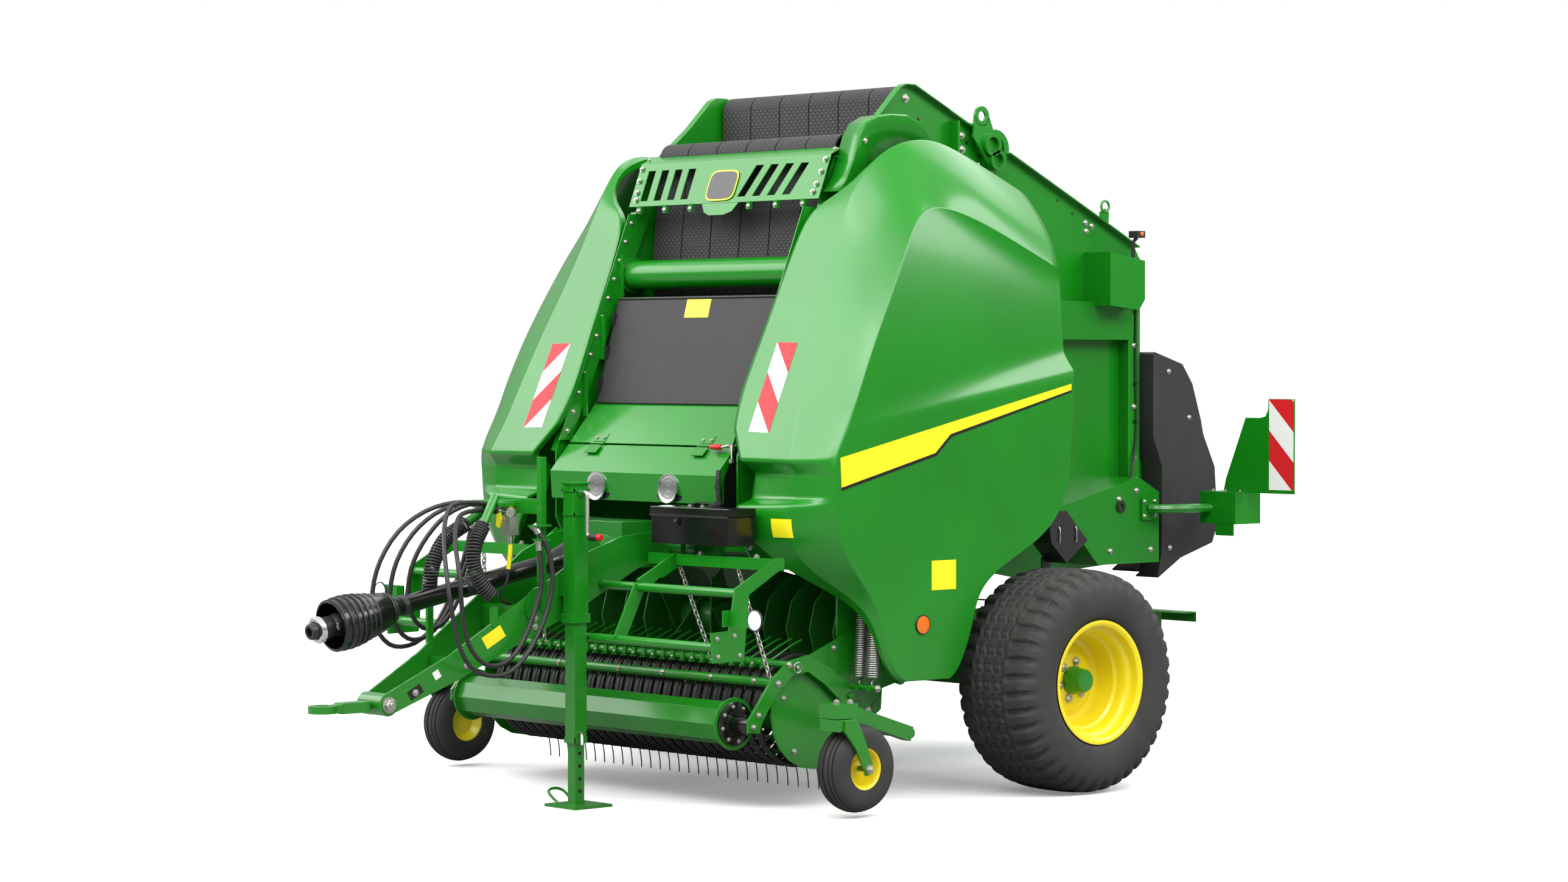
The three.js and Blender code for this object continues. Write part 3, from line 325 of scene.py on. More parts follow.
# %% Prisms and plates
def prism(mesh, outline, depth):
    """A flat outline of points, pushed along the vector depth."""
    low = [mesh.verts.new(p) for p in outline]
    high = [mesh.verts.new(p + depth) for p in outline]
    mesh.faces.new(low)
    mesh.faces.new(high[::-1])
    for i in range(len(low)):
        j = (i + 1) % len(low)
        mesh.faces.new([low[i], high[i], high[j], low[j]])


def bar(mesh, low, high):
    outline = [Vector((low.x, low.y, low.z)), Vector((high.x, low.y, low.z)),
               Vector((high.x, high.y, low.z)), Vector((low.x, high.y, low.z))]
    prism(mesh, outline, Vector((0, 0, high.z - low.z)))


def sided_bar(mesh, side, low, high):
    """A bar measured on the left; side -1 puts it on the right."""
    near, far = sorted((low[0] * side, high[0] * side))
    bar(mesh, at(near, *low[1:]), at(far, *high[1:]))


def side_plate(mesh, outline, x, depth):
    """A plate cut from (y, z) points and standing at x."""
    prism(mesh, [at(x, y, z) for y, z in outline], Vector((depth, 0, 0)))

# %% Turned profiles
def across(direction):
    """Two unit vectors square to a direction."""
    forward = direction.normalized()
    start = UP if abs(forward.z) < 0.9 else LEFT
    first = start.cross(forward).normalized()
    return first, forward.cross(first)


def spoke(first, second, angle):
    """The direction at an angle that opens from first towards second."""
    return first * math.cos(angle) + second * math.sin(angle)


def turned(mesh, profile, centre, axis, sides=48):
    """Spins (radius, distance along axis) points about the axis; the profile closes on itself."""
    forward = axis.normalized()
    first, second = across(axis)
    rings = []
    for radius, along in profile:
        middle = centre + forward * along
        if radius < 1e-6:
            rings.append([mesh.verts.new(middle)] * sides)
            continue
        rings.append([mesh.verts.new(middle + spoke(first, second, math.tau * k / sides) * radius)
                      for k in range(sides)])
    for i in range(len(rings)):
        here, there = rings[i], rings[(i + 1) % len(rings)]
        for k in range(sides):
            corners = []
            for corner in (here[k], here[(k + 1) % sides], there[(k + 1) % sides], there[k]):
                if corner not in corners:
                    corners.append(corner)
            if len(corners) > 2:
                mesh.faces.new(corners)

# %% Tubes and bolts
def tube(mesh, route, radius, sides=12, ends=True):
    """A round tube along points."""
    rings = []
    first, second = across(route[1] - route[0])
    for i, point in enumerate(route):
        before = route[max(i - 1, 0)]
        after = route[min(i + 1, len(route) - 1)]
        forward = (after - before).normalized()
        first = (first - forward * first.dot(forward)).normalized()
        second = forward.cross(first)
        rings.append([mesh.verts.new(point + spoke(first, second, math.tau * k / sides) * radius)
                      for k in range(sides)])
    for here, there in zip(rings, rings[1:]):
        for k in range(sides):
            mesh.faces.new([here[k], here[(k + 1) % sides], there[(k + 1) % sides], there[k]])
    if ends:
        mesh.faces.new(rings[0][::-1])
        mesh.faces.new(rings[-1])


def bolt(mesh, spot, outward, size=0.012):
    """A hexagon head with its washer and the end of its thread; size is the head's half width."""
    forward = outward.normalized()
    turned(mesh, [(0, 0), (size * 1.35, 0), (size * 1.35, size * 0.22), (0, size * 0.22)], spot, forward, 16)
    head = spot + forward * size * 0.22
    turned(mesh, [(0, 0), (size, 0), (size, size * 0.62), (size * 0.84, size * 0.74), (0, size * 0.74)],
           head, forward, 6)
    turned(mesh, [(0, 0), (size * 0.5, 0), (size * 0.5, size * 0.95), (size * 0.4, size * 1.05), (0, size * 1.05)],
           head, forward, 10)

# %% From mesh to piece
def shape(name, body, finish, build, angle=38):
    mesh = bmesh.new()
    build(mesh)
    bmesh.ops.recalc_face_normals(mesh, faces=mesh.faces)
    data = bpy.data.meshes.new(name)
    mesh.to_mesh(data)
    mesh.free()
    data.shade_smooth()
    data.set_sharp_from_angle(angle=math.radians(angle))
    data.materials.append(finish)
    piece = put_in_scene(name, data)
    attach(piece, body)
    print("made", name, "with", len(data.polygons), "faces")
    return piece


def painted(name, body, build):
    """A piece in the machine's green enamel."""
    shape(name, body, FIELD_GREEN, build)


def plated(name, body, build):
    """A zinc-plated piece."""
    shape(name, body, ZINC, build)


def rounded(piece, width=0.002, segments=2):
    """Breaks the sharp edges of a pressed or cast piece, so that they catch the light."""
    worn = piece.modifiers.new("edges", "BEVEL")
    worn.width = width
    worn.segments = segments
    worn.limit_method = "ANGLE"
    worn.angle_limit = math.radians(32)
    worn.harden_normals = True

# %% [markdown]
# ## Hoses and coiled cables
# Five hydraulic hoses are parked in the holder and hang in long loops. They are about 20 mm thick, stiff
# with steel braid, so each bends in one wide curve. Their routes are the same points as in the solids,
# joined by a centripetal curve, which passes every point without overshooting.

# %% Smooth route
def smooth_route(points, count):
    """Points on the centripetal curve through the given points."""
    knots = [points[0] * 2 - points[1], *points, points[-1] * 2 - points[-2]]
    route = []
    spans = len(points) - 1
    for n in range(count + 1):
        place = min(n / count * spans, spans - 1e-9)
        i = int(place)
        p0, p1, p2, p3 = knots[i:i + 4]
        t0 = 0.0
        t1 = t0 + (p1 - p0).length ** 0.5
        t2 = t1 + (p2 - p1).length ** 0.5
        t3 = t2 + (p3 - p2).length ** 0.5
        t = t1 + (place - i) * (t2 - t1)
        a1 = p0 * ((t1 - t) / (t1 - t0)) + p1 * ((t - t0) / (t1 - t0))
        a2 = p1 * ((t2 - t) / (t2 - t1)) + p2 * ((t - t1) / (t2 - t1))
        a3 = p2 * ((t3 - t) / (t3 - t2)) + p3 * ((t - t2) / (t3 - t2))
        b1 = a1 * ((t2 - t) / (t2 - t0)) + a2 * ((t - t0) / (t2 - t0))
        b2 = a2 * ((t3 - t) / (t3 - t1)) + a3 * ((t - t1) / (t3 - t1))
        route.append(b1 * ((t2 - t) / (t2 - t1)) + b2 * ((t - t1) / (t2 - t1)))
    return route


def length_of(route):
    return sum((b - a).length for a, b in zip(route, route[1:]))


def line_piece(name, body, finish, route, radius, sides=4):
    """A cord as a curve: its own line is the centreline and a round section gives it thickness."""
    data = bpy.data.curves.new(name, "CURVE")
    data.dimensions = "3D"
    data.bevel_depth = radius
    data.bevel_resolution = sides
    data.use_fill_caps = True
    spline = data.splines.new("POLY")
    spline.points.add(len(route) - 1)
    for point, place in zip(spline.points, route):
        point.co = (*place, 1.0)
    spline.use_smooth = True
    data.materials.append(finish)
    piece = put_in_scene(name, data)
    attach(piece, body)
    return piece

# %% Five hoses
HOSE_ROUTES = {
    "hose_outer": [(-.185, -2.190, 1.290), (-.195, -2.250, 1.300), (-.220, -2.400, 1.270),
                   (-.245, -2.540, 1.180), (-.265, -2.630, 1.040), (-.278, -2.655, .900), (-.285, -2.630, .770),
                   (-.285, -2.550, .690), (-.280, -2.440, .690), (-.275, -2.330, .760), (-.268, -2.250, .880),
                   (-.255, -2.190, 1.030), (-.245, -2.150, 1.180)],
    "hose_middle": [(-.145, -2.190, 1.290), (-.152, -2.250, 1.298), (-.180, -2.380, 1.260),
                    (-.210, -2.490, 1.170), (-.232, -2.565, 1.040), (-.245, -2.585, .900),
                    (-.248, -2.555, .780), (-.248, -2.480, .715), (-.246, -2.385, .725), (-.242, -2.300, .800),
                    (-.236, -2.235, .920), (-.228, -2.180, 1.050), (-.215, -2.145, 1.180)],
    "hose_inner": [(-.105, -2.190, 1.290), (-.112, -2.240, 1.296), (-.140, -2.350, 1.255),
                   (-.172, -2.440, 1.160), (-.198, -2.500, 1.040), (-.210, -2.515, .920), (-.213, -2.490, .815),
                   (-.213, -2.425, .760), (-.213, -2.340, .770), (-.211, -2.270, .840), (-.206, -2.215, .950),
                   (-.198, -2.170, 1.060), (-.185, -2.135, 1.180)],
    "hose_long": [(-.020, -2.190, 1.290), (-.020, -2.310, 1.305), (.000, -2.430, 1.300), (.075, -2.530, 1.240),
                  (.155, -2.597, 1.130), (.225, -2.635, 1.010), (.248, -2.640, .930), (.250, -2.625, .850),
                  (.250, -2.587, .712), (.250, -2.525, .622), (.250, -2.426, .585), (.250, -2.330, .592),
                  (.250, -2.240, .655), (.250, -2.157, .769), (.250, -2.100, .910), (.248, -2.092, 1.030),
                  (.236, -2.115, 1.130), (.218, -2.140, 1.175)],
    "hose_short": [(-.020, -2.190, 1.262), (-.018, -2.300, 1.270), (.005, -2.395, 1.255), (.070, -2.470, 1.205),
                   (.140, -2.525, 1.130), (.195, -2.553, 1.050), (.220, -2.561, .970), (.222, -2.549, .829),
                   (.222, -2.513, .709), (.222, -2.438, .635), (.222, -2.351, .625), (.222, -2.260, .680),
                   (.222, -2.180, .811), (.222, -2.134, .940), (.219, -2.130, 1.030), (.212, -2.132, 1.100)],
}
HOSE_RADIUS = 0.010
for node, points in HOSE_ROUTES.items():
    route = smooth_route([at(*p) for p in points], 40)
    hose = line_piece("rubber_" + node, "baler", HOSE_RUBBER, route, HOSE_RADIUS)
    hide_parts(node)
    print(node, "is", round(length_of(route), 3), "m long")

# %% [markdown]
# The two coiled cables carry lights and control signals. The cable is 11 mm thick and wound on a mandrel,
# so it springs out when the machine turns. Each is one long spring-shaped curve wound round its route.

# %% Two coiled cables
COIL_ROUTES = {
    "coil_cable_right": [(-.090, -2.290, 1.215), (-.105, -2.390, 1.150), (-.110, -2.450, 1.060),
                         (-.112, -2.472, .970), (-.120, -2.466, .904)],
    "coil_cable_left": [(.078, -2.330, 1.215), (.098, -2.392, 1.130), (.106, -2.404, 1.040),
                        (.122, -2.372, .960), (.140, -2.325, .905)],
}
CABLE_RADIUS = 0.0055
WINDING_RADIUS = 0.035 - CABLE_RADIUS


def wound(route, turns, per_turn):
    """Winds a line round a route, with its first turn at the route's start."""
    total = length_of(route)
    first, second = across(route[1] - route[0])
    spots, walked, i = [], 0.0, 0
    for n in range(turns * per_turn + 1):
        target = total * (0.01 + 0.98 * n / (turns * per_turn))
        while i < len(route) - 2 and walked + (route[i + 1] - route[i]).length < target:
            walked += (route[i + 1] - route[i]).length
            i += 1
        step = route[i + 1] - route[i]
        forward = step.normalized()
        first = (first - forward * first.dot(forward)).normalized()
        second = forward.cross(first)
        middle = route[i] + forward * (target - walked)
        spots.append(middle + spoke(first, second, math.tau * n / per_turn) * WINDING_RADIUS)
    return spots


for node, points in COIL_ROUTES.items():
    route = smooth_route([at(*p) for p in points], 60)
    turns = int(length_of(route) / 0.0128)
    winding = wound(route, turns, 14)
    cable = line_piece("wound_" + node, "baler", HOSE_RUBBER, winding, CABLE_RADIUS, 2)
    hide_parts(node)
    print(node, "has", turns, "turns and", round(length_of(winding), 2), "m of cable")

# %% [markdown]
# ## Flat belts
# Six endless belts run side by side over the rollers and squeeze the bale round. The front loop winds like
# a snake at the top: over the high roller, down and under an inner one, then over the low front roller. A
# line of arcs, one for each roller, gives that path, and the same line is drawn six times across the width
# with a finger's width of air between two belts. The gate's loop is plain, so it is cut from its solid.

# %% Six belts round a path of rollers
BELT_GAP, BELT_HALF = 0.007, 0.004
# y and z of each roller, its radius, and the angles at which the belt arrives and leaves
FRONT_ROLLERS = [(-0.315, 3.088, 0.060, -5, 180), (-0.443, 2.745, 0.066, 0, -141), (-0.700, 2.850, 0.066, 39, 175),
                 (-0.770, 2.330, 0.044, 175, 190), (-0.560, 1.120, 0.049, 190, 288),
                 (-0.470, 1.150, 0.049, 288, 355)]


def belt_path():
    path = []
    for y, z, radius, arrive, leave in FRONT_ROLLERS:
        for k in range(13):
            a = math.radians(arrive + (leave - arrive) * k / 12)
            path.append(at(0, y + radius * math.cos(a), z + radius * math.sin(a)))
    return path

# %% Belts at the front and in the gate
def six_belts(name, node, body, draw_belt):
    low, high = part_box(node)
    each = (high.x - low.x - 5 * BELT_GAP) / 6

    def build(mesh):
        for n in range(6):
            left = low.x + n * (each + BELT_GAP)
            draw_belt(mesh, left, left + each)

    piece = shape(name, body, BELT, build, 50)
    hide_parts(node)


def wound_belt(mesh, left, right):
    path = belt_path()
    rings = []
    for i, spot in enumerate(path):
        way = (path[(i + 1) % len(path)] - path[i - 1]).normalized()
        out = Vector((0, -way.z, way.y)) * BELT_HALF
        rings.append([mesh.verts.new((x, p.y, p.z)) for x, p in ((left, spot - out), (right, spot - out),
                                                                (right, spot + out), (left, spot + out))])
    for i, ring in enumerate(rings):
        other = rings[(i + 1) % len(rings)]
        for k in range(4):
            mesh.faces.new([ring[k], ring[(k + 1) % 4], other[(k + 1) % 4], other[k]])
    bmesh.ops.recalc_face_normals(mesh, faces=mesh.faces)


def cut_belt(mesh, left, right):
    source = frame["nodes"]["gate_belts"].data
    made = [mesh.verts.new((left if v.co.x < 0 else right, v.co.y, v.co.z)) for v in source.vertices]
    for face in source.polygons:
        mesh.faces.new([made[i] for i in face.vertices])
    bmesh.ops.remove_doubles(mesh, verts=mesh.verts, dist=0.00002)


six_belts("belts_front", "front_belts", "baler", wound_belt)
six_belts("belts_gate", "gate_belts", "gate", cut_belt)

# %% [markdown]
# ## Tyres
# The main tyres are wide flotation tyres. Their tread has four wavy grooves round the middle and blocks on
# both shoulders, cut by slots every 78 mm. A fine grid is wrapped round the wheel and every point is pulled in
# by the depth of the groove that it lies in, which follows the wavy pattern better than joining blocks.

# %% Flotation tyre
TYRE_SIDE = [(0.205, 0.262), (0.2045, 0.276), (0.214, 0.284), (0.224, 0.300), (0.231, 0.330), (0.2335, 0.360),
             (0.2325, 0.392), (0.228, 0.420), (0.219, 0.442), (0.208, 0.459), (0.196, 0.472), (0.182, 0.4815),
             (0.160, 0.487), (0.135, 0.4905), (0.110, 0.4930), (0.080, 0.4948), (0.050, 0.4957), (0.0, 0.4960)]


def tyre_radius(w):
    """The bare section: radius at a distance w from the middle plane."""
    points = TYRE_SIDE[::-1]
    for (w0, r0), (w1, r1) in zip(points, points[1:]):
        if w0 <= w <= w1:
            return r0 + (r1 - r0) * (w - w0) / (w1 - w0)
    return points[-1][1]

# %% Depth of the tread
RIB_DEEP, BLOCK_DEEP, SIPE_DEEP = 0.011, 0.013, 0.004
RIB_GROOVES = ((0.030, 0.005), (0.078, 0.0055), (-0.030, 0.005), (-0.078, 0.0055))
SHOULDER, TREAD_EDGE = 0.098, 0.205


def groove_depth(w, turns):
    """How deep the tread is cut at width w and at a share of one block's pitch."""
    depth = 0.0
    sway = 0.008 * math.sin(math.tau * turns)
    for middle, half in RIB_GROOVES:
        near = abs(w - middle - sway) / half
        depth = max(depth, RIB_DEEP * max(0.0, min(1.0, 1.7 - near)))
    side = abs(w)
    if side > SHOULDER:
        lean = 0.16 * (side - SHOULDER) / 0.13
        phase = (turns + lean + (0.5 if w < 0 else 0.0)) % 1.0
        edge = abs(phase - 0.5) / 0.14
        wide = min(1.0, (side - SHOULDER) / 0.01)
        fade = 1.0 if side < TREAD_EDGE else max(0.0, 1 - (side - TREAD_EDGE) / 0.026)
        depth = max(depth, BLOCK_DEEP * wide * fade * max(0.0, min(1.0, 1.8 - edge)))
    else:
        phase = (turns * 2) % 1.0
        if abs(phase - 0.5) < 0.06 and not 0.024 < side < 0.036:
            depth = max(depth, SIPE_DEEP)
    return depth

# %% One grid wrapped round the wheel
def tread_tyre(name, side, body, pitches=40, per_pitch=9):
    wall = TYRE_SIDE[:11]
    middle = [-0.19 + 0.38 * i / 50 for i in range(51)]
    section = [(-w, r) for w, r in wall] + [(w, tyre_radius(abs(w))) for w in middle]
    section += [(w, r) for w, r in reversed(wall)]
    count = pitches * per_pitch

    def build(mesh):
        rows = []
        for w, radius in section:
            ring = []
            for k in range(count):
                a = math.tau * k / count
                deep = groove_depth(w, k / per_pitch) if radius > 0.40 else 0.0
                inward = 0.6 * deep if radius < 0.475 else 0.0
                x = WHEEL_X * side + w - math.copysign(inward, w)
                r = radius - deep
                ring.append(mesh.verts.new((x, AXLE_Y + r * math.cos(a), AXLE_Z + r * math.sin(a))))
            rows.append(ring)
        for here, there in zip(rows, rows[1:] + rows[:1]):
            for k in range(count):
                mesh.faces.new([here[k], here[(k + 1) % count], there[(k + 1) % count], there[k]])

    return shape(name, body, TYRE_RUBBER, build, 30)


for side, word in SIDES:
    rubber = tread_tyre("flotation_tyre_" + word, side, "wheel_" + word)
    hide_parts("wheel_tyre_" + word)

# %% [markdown]
# ## Wheel rims
# A rim is rolled from steel strip: a lip that holds the tyre, a step down to the well, and a dished centre
# plate with the wheel bolts. It is turned from one closed profile. The hub's cap is pressed sheet.

# %% Rims, hub caps and wheel bolts
RIM_PROFILE = [(0.0, 0.034), (0.060, 0.034), (0.064, 0.030), (0.110, 0.030), (0.128, 0.020), (0.165, 0.000),
               (0.196, 0.006), (0.204, 0.030), (0.208, 0.092), (0.222, 0.104), (0.226, 0.150), (0.234, 0.160),
               (0.250, 0.164), (0.254, 0.200), (0.262, 0.208), (0.273, 0.2105), (0.274, 0.2135), (0.268, 0.2145),
               (0.257, 0.213), (0.2475, 0.205), (0.244, 0.170), (0.229, 0.166), (0.220, 0.156), (0.216, 0.110),
               (0.203, 0.100), (0.198, 0.034), (0.190, 0.014), (0.165, 0.008), (0.132, 0.028), (0.112, 0.038),
               (0.0, 0.042)]


def rim_piece(side, word):
    outward = LEFT * side
    hub = Vector((WHEEL_X * side, AXLE_Y, AXLE_Z))
    body = "wheel_" + word

    def disc(mesh):
        turned(mesh, RIM_PROFILE, hub, outward, 96)
        barrel = [(0.2615, -0.206), (0.2615, 0.2045), (0.255, 0.2045), (0.247, 0.16), (0.247, -0.2)]
        turned(mesh, barrel, hub, outward, 96)
        lip = [(0.2615, -0.2055), (0.274, -0.2065), (0.274, -0.2135), (0.247, -0.2135), (0.247, -0.2)]
        turned(mesh, lip, hub, outward, 96)

    rim = shape("rim_" + word, body, STRAW_YELLOW, disc, 40)
    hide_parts("wheel_rim_" + word)

    def cap(mesh):
        profile = [(0, 0.040), (0.062, 0.040), (0.062, 0.060), (0.057, 0.066), (0.052, 0.116), (0.046, 0.125),
                   (0.0, 0.127)]
        turned(mesh, profile, hub, outward, 48)

    painted("hub_cap_" + word, body, cap)

    def bolts(mesh):
        for k in range(6):
            a = math.radians(60 * k + 14)
            spot = hub + Vector((side * 0.041, math.cos(a) * 0.085, math.sin(a) * 0.085))
            bolt(mesh, spot, outward, 0.015)

    plated("wheel_bolts_" + word, body, bolts)


for side, word in SIDES:
    rim_piece(side, word)

# %% [markdown]
# ## Gauge wheels
# The pickup's small wheels run along the ground and set its height. Their tyres are ribbed like a front
# tractor tyre, so a turned profile with four grooves is the whole tread.

# %% Ribbed tyres and small rims
def gauge_wheel(side, word):
    low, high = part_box("gauge_wheel_" + word)
    hub = (low + high) / 2
    outward = LEFT * side
    body = "gauge_wheel_" + word
    ribs = [(0.0665, 0.090), (0.0685, 0.112), (0.0680, 0.135), (0.0640, 0.152), (0.0590, 0.163), (0.0520, 0.171)]
    tread = [(0.047, 0.1750), (0.0455, 0.1690), (0.0410, 0.1700), (0.0395, 0.1785), (0.0290, 0.1822), (0.0275, 0.1750),
             (0.0235, 0.1755), (0.0220, 0.1840), (0.0085, 0.1868), (0.0070, 0.1790), (0.0, 0.1790)]
    half = ribs + tread
    ring = [(r, w) for w, r in half] + [(r, -w) for w, r in half[::-1][1:]]
    ring += [(0.089, -0.058), (0.089, 0.058)]

    rubber = shape("ribbed_tyre_" + word, body, TYRE_RUBBER, lambda mesh: turned(mesh, ring, hub, outward, 72), 32)
    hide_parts("gauge_wheel_" + word)
    profile = [(0.0, 0.010), (0.030, 0.012), (0.034, 0.000), (0.056, -0.006), (0.070, 0.020), (0.076, 0.052),
               (0.084, 0.060), (0.0885, 0.061), (0.0885, -0.056), (0.080, -0.050), (0.060, -0.020), (0.0, -0.020)]
    disc = shape("small_rim_" + word, body, STRAW_YELLOW,
                 lambda mesh: turned(mesh, profile, hub, outward, 60), 40)


for side, word in SIDES:
    gauge_wheel(side, word)

# %% [markdown]
# ## Side doors
# Each side door is one deep-drawn shell: a flat leaning front, a soft corner, and a side that is framed by
# an arched crease and a long ridge. A rough net of points is laid on those lines and subdivided, which
# gives smooth skin between them; marking the lines as creases keeps them crisp, as the press tool would.
# Each row below holds four points: inner edge, front corner, arched crease and rear edge.

# %% Door rows, from the bottom to the rear of the crest
DOOR_ROWS = [
    ((1.186, -0.940, 0.532), (1.206, -0.942, 0.529), (1.222, -0.930, 0.536), (1.222, -0.672, 0.534)),
    ((1.186, -1.030, 0.575), (1.208, -1.030, 0.573), (1.222, -1.006, 0.583), (1.222, -0.612, 0.568)),
    ((1.186, -1.085, 0.740), (1.208, -1.085, 0.738), (1.222, -1.058, 0.740), (1.222, -0.532, 0.740)),
    ((1.130, -1.150, 0.872), (1.180, -1.146, 0.875), (1.222, -1.105, 0.880), (1.222, -0.505, 0.880)),
    ((0.985, -1.352, 0.995), (1.080, -1.325, 0.995), (1.222, -1.215, 1.000), (1.222, -0.410, 0.985)),
    ((0.870, -1.425, 1.085), (1.040, -1.408, 1.090), (1.222, -1.290, 1.100), (1.222, -0.130, 1.105)),
    ((0.745, -1.470, 1.205), (1.030, -1.458, 1.210), (1.222, -1.322, 1.215), (1.222, 0.000, 1.210)),
    ((0.722, -1.462, 1.290), (1.030, -1.448, 1.300), (1.222, -1.334, 1.305), (1.222, 0.050, 1.300)),
    ((0.722, -1.372, 1.318), (1.030, -1.400, 1.326), (1.222, -1.338, 1.345), (1.222, 0.070, 1.345)),
    ((0.722, -1.352, 1.430), (1.036, -1.398, 1.430), (1.222, -1.344, 1.430), (1.222, 0.090, 1.430)),
    ((0.717, -1.438, 1.484), (1.036, -1.436, 1.484), (1.222, -1.349, 1.496), (1.222, 0.096, 1.560)),
    ((0.612, -1.378, 1.618), (0.998, -1.376, 1.622), (1.222, -1.276, 1.626), (1.222, 0.117, 1.866)),
    ((0.592, -1.350, 1.682), (0.988, -1.350, 1.684), (1.221, -1.243, 1.690), (1.190, 0.081, 1.945)),
    ((0.578, -1.296, 1.805), (0.974, -1.296, 1.808), (1.220, -1.190, 1.815), (1.190, 0.081, 1.990)),
    ((0.594, -1.206, 2.010), (0.950, -1.206, 2.010), (1.220, -1.098, 2.010), (1.190, 0.081, 2.050)),
    ((0.603, -1.120, 2.205), (0.910, -1.120, 2.205), (1.218, -0.990, 2.200), (1.190, 0.081, 2.110)),
    ((0.612, -1.036, 2.396), (0.876, -1.036, 2.396), (1.214, -0.880, 2.390), (1.190, 0.081, 2.150)),
    ((0.630, -0.957, 2.576), (0.862, -0.958, 2.574), (1.206, -0.800, 2.520), (1.190, 0.081, 2.180)),
    ((0.792, -0.908, 2.648), (0.872, -0.880, 2.716), (1.200, -0.712, 2.578), (1.190, 0.081, 2.205)),
    ((0.864, -0.818, 2.772), (0.912, -0.768, 2.838), (1.200, -0.610, 2.580), (1.190, 0.081, 2.225)),
    ((0.890, -0.690, 2.856), (0.945, -0.630, 2.886), (1.202, -0.500, 2.556), (1.190, 0.081, 2.240)),
    ((0.848, -0.500, 2.896), (0.952, -0.470, 2.884), (1.203, -0.350, 2.504), (1.190, 0.081, 2.252)),
    ((0.768, -0.260, 2.846), (0.955, -0.240, 2.795), (1.203, -0.180, 2.432), (1.190, 0.080, 2.264)),
    ((0.716, 0.050, 2.716), (0.955, 0.056, 2.668), (1.203, 0.062, 2.326), (1.192, 0.078, 2.280)),
]
RIDGE_ROW = 11
ARCH_FROM = 12
SHELL = 0.009
LEAN, LEAN_FROM, LEAN_WIDE = 0.095, 1.69, 1.15
SIDE_SHARES = (0.05, 0.28, 0.55, 0.80, 0.96)

# %% Net of points over a door
def leaned(point):
    """The side leans in a little more the higher it gets, so that its upper part shines."""
    rise = max(0.0, point.z - LEAN_FROM)
    return Vector((point.x - (LEAN * rise * rise if point.x > LEAN_WIDE else 0.0), point.y, point.z))


def door_net(side):
    """Rows of points over one door, with a turned-in strip along its inner and rear edges."""
    heart = Vector((0.55, -0.35, 1.75))
    net = []
    for inner, corner, arch, rear in ([leaned(Vector(p)) for p in row] for row in DOOR_ROWS):
        swell = (corner + arch) / 2 - heart
        along = (arch - corner).normalized()
        swell = (swell - along * swell.dot(along)).normalized() * (arch - corner).length
        turned_in = Vector((0, 0.03, 0)) if inner.y < -0.9 else Vector((0, 0.004, -0.03))
        swell *= 0.18 if corner.y < -0.9 else 0.5
        row = [inner + turned_in, inner, inner.lerp(corner, 0.5), inner.lerp(corner, 0.93), corner,
               corner.lerp(arch, 0.10) + swell * 0.05, corner.lerp(arch, 0.40) + swell * 0.14,
               corner.lerp(arch, 0.72) + swell * 0.13, corner.lerp(arch, 0.94) + swell * 0.035, arch]
        row += [arch.lerp(rear, share) for share in SIDE_SHARES] + [rear, rear - Vector((0.035, 0.002, 0))]
        net.append(row)
    end = [heart + (p - heart) * 0.955 for p in net[-1]]
    net.append([Vector((p.x, q.y, p.z)) for p, q in zip(end, net[-1])])
    start = [Vector((p.x - 0.03, p.y, p.z + 0.004)) for p in net[0]]
    return [[at(p.x * side, p.y, p.z) for p in row] for row in [start] + net]

# %% Door shells
CORNER_COLUMN, ARCH_COLUMN, REAR_COLUMN = 4, 9, 15


def door_shell(word, side):
    net = door_net(side)

    def build(mesh):
        points = [[mesh.verts.new(p) for p in row] for row in net]
        for low, high in zip(points, points[1:]):
            for i in range(len(low) - 1):
                mesh.faces.new([low[i], low[i + 1], high[i + 1], high[i]])
        sharp = mesh.edges.layers.float.new("crease_edge")
        for n, (low, high) in enumerate(zip(points, points[1:])):
            upper = n > ARCH_FROM
            for column, amount in ((1, 1.0), (CORNER_COLUMN, 0.55 if upper else 0.35),
                                   (ARCH_COLUMN, 0.72 if upper else 0.2), (REAR_COLUMN, 1.0)):
                mesh.edges.get((low[column], high[column]))[sharp] = amount
        for n, first, last, amount in ((1, 0, 17, 1.0), (len(points) - 2, 0, 17, 1.0),
                                       (RIDGE_ROW + 1, ARCH_COLUMN, 17, 0.6), (8, 0, ARCH_COLUMN, 0.85),
                                       (9, 0, ARCH_COLUMN, 0.7), (10, 0, ARCH_COLUMN, 0.6),
                                       (11, 0, ARCH_COLUMN, 0.95), (12, 0, CORNER_COLUMN, 0.6)):
            line = points[n][first:last]
            for one, two in zip(line, line[1:]):
                mesh.edges.get((one, two))[sharp] = amount

    shell = shape("door_shell_" + word, "side_door_" + word, FIELD_GREEN, build, 180)
    skin = shell.modifiers.new("skin", "SUBSURF")
    skin.levels = skin.render_levels = 3
    depth = shell.modifiers.new("sheet", "SOLIDIFY")
    depth.thickness = SHELL
    depth.offset = -1.0
    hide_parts("side_door_" + word)
    return shell


DOORS = {word: door_shell(word, side) for side, word in SIDES}

# %% [markdown]
# ## Film on the doors
# Stripes, hazard films and labels are cut vinyl. A flat outline is sliced into small squares and every
# corner slides along one direction until it meets the door, so that the film follows each curve exactly and
# lies just on the paint.

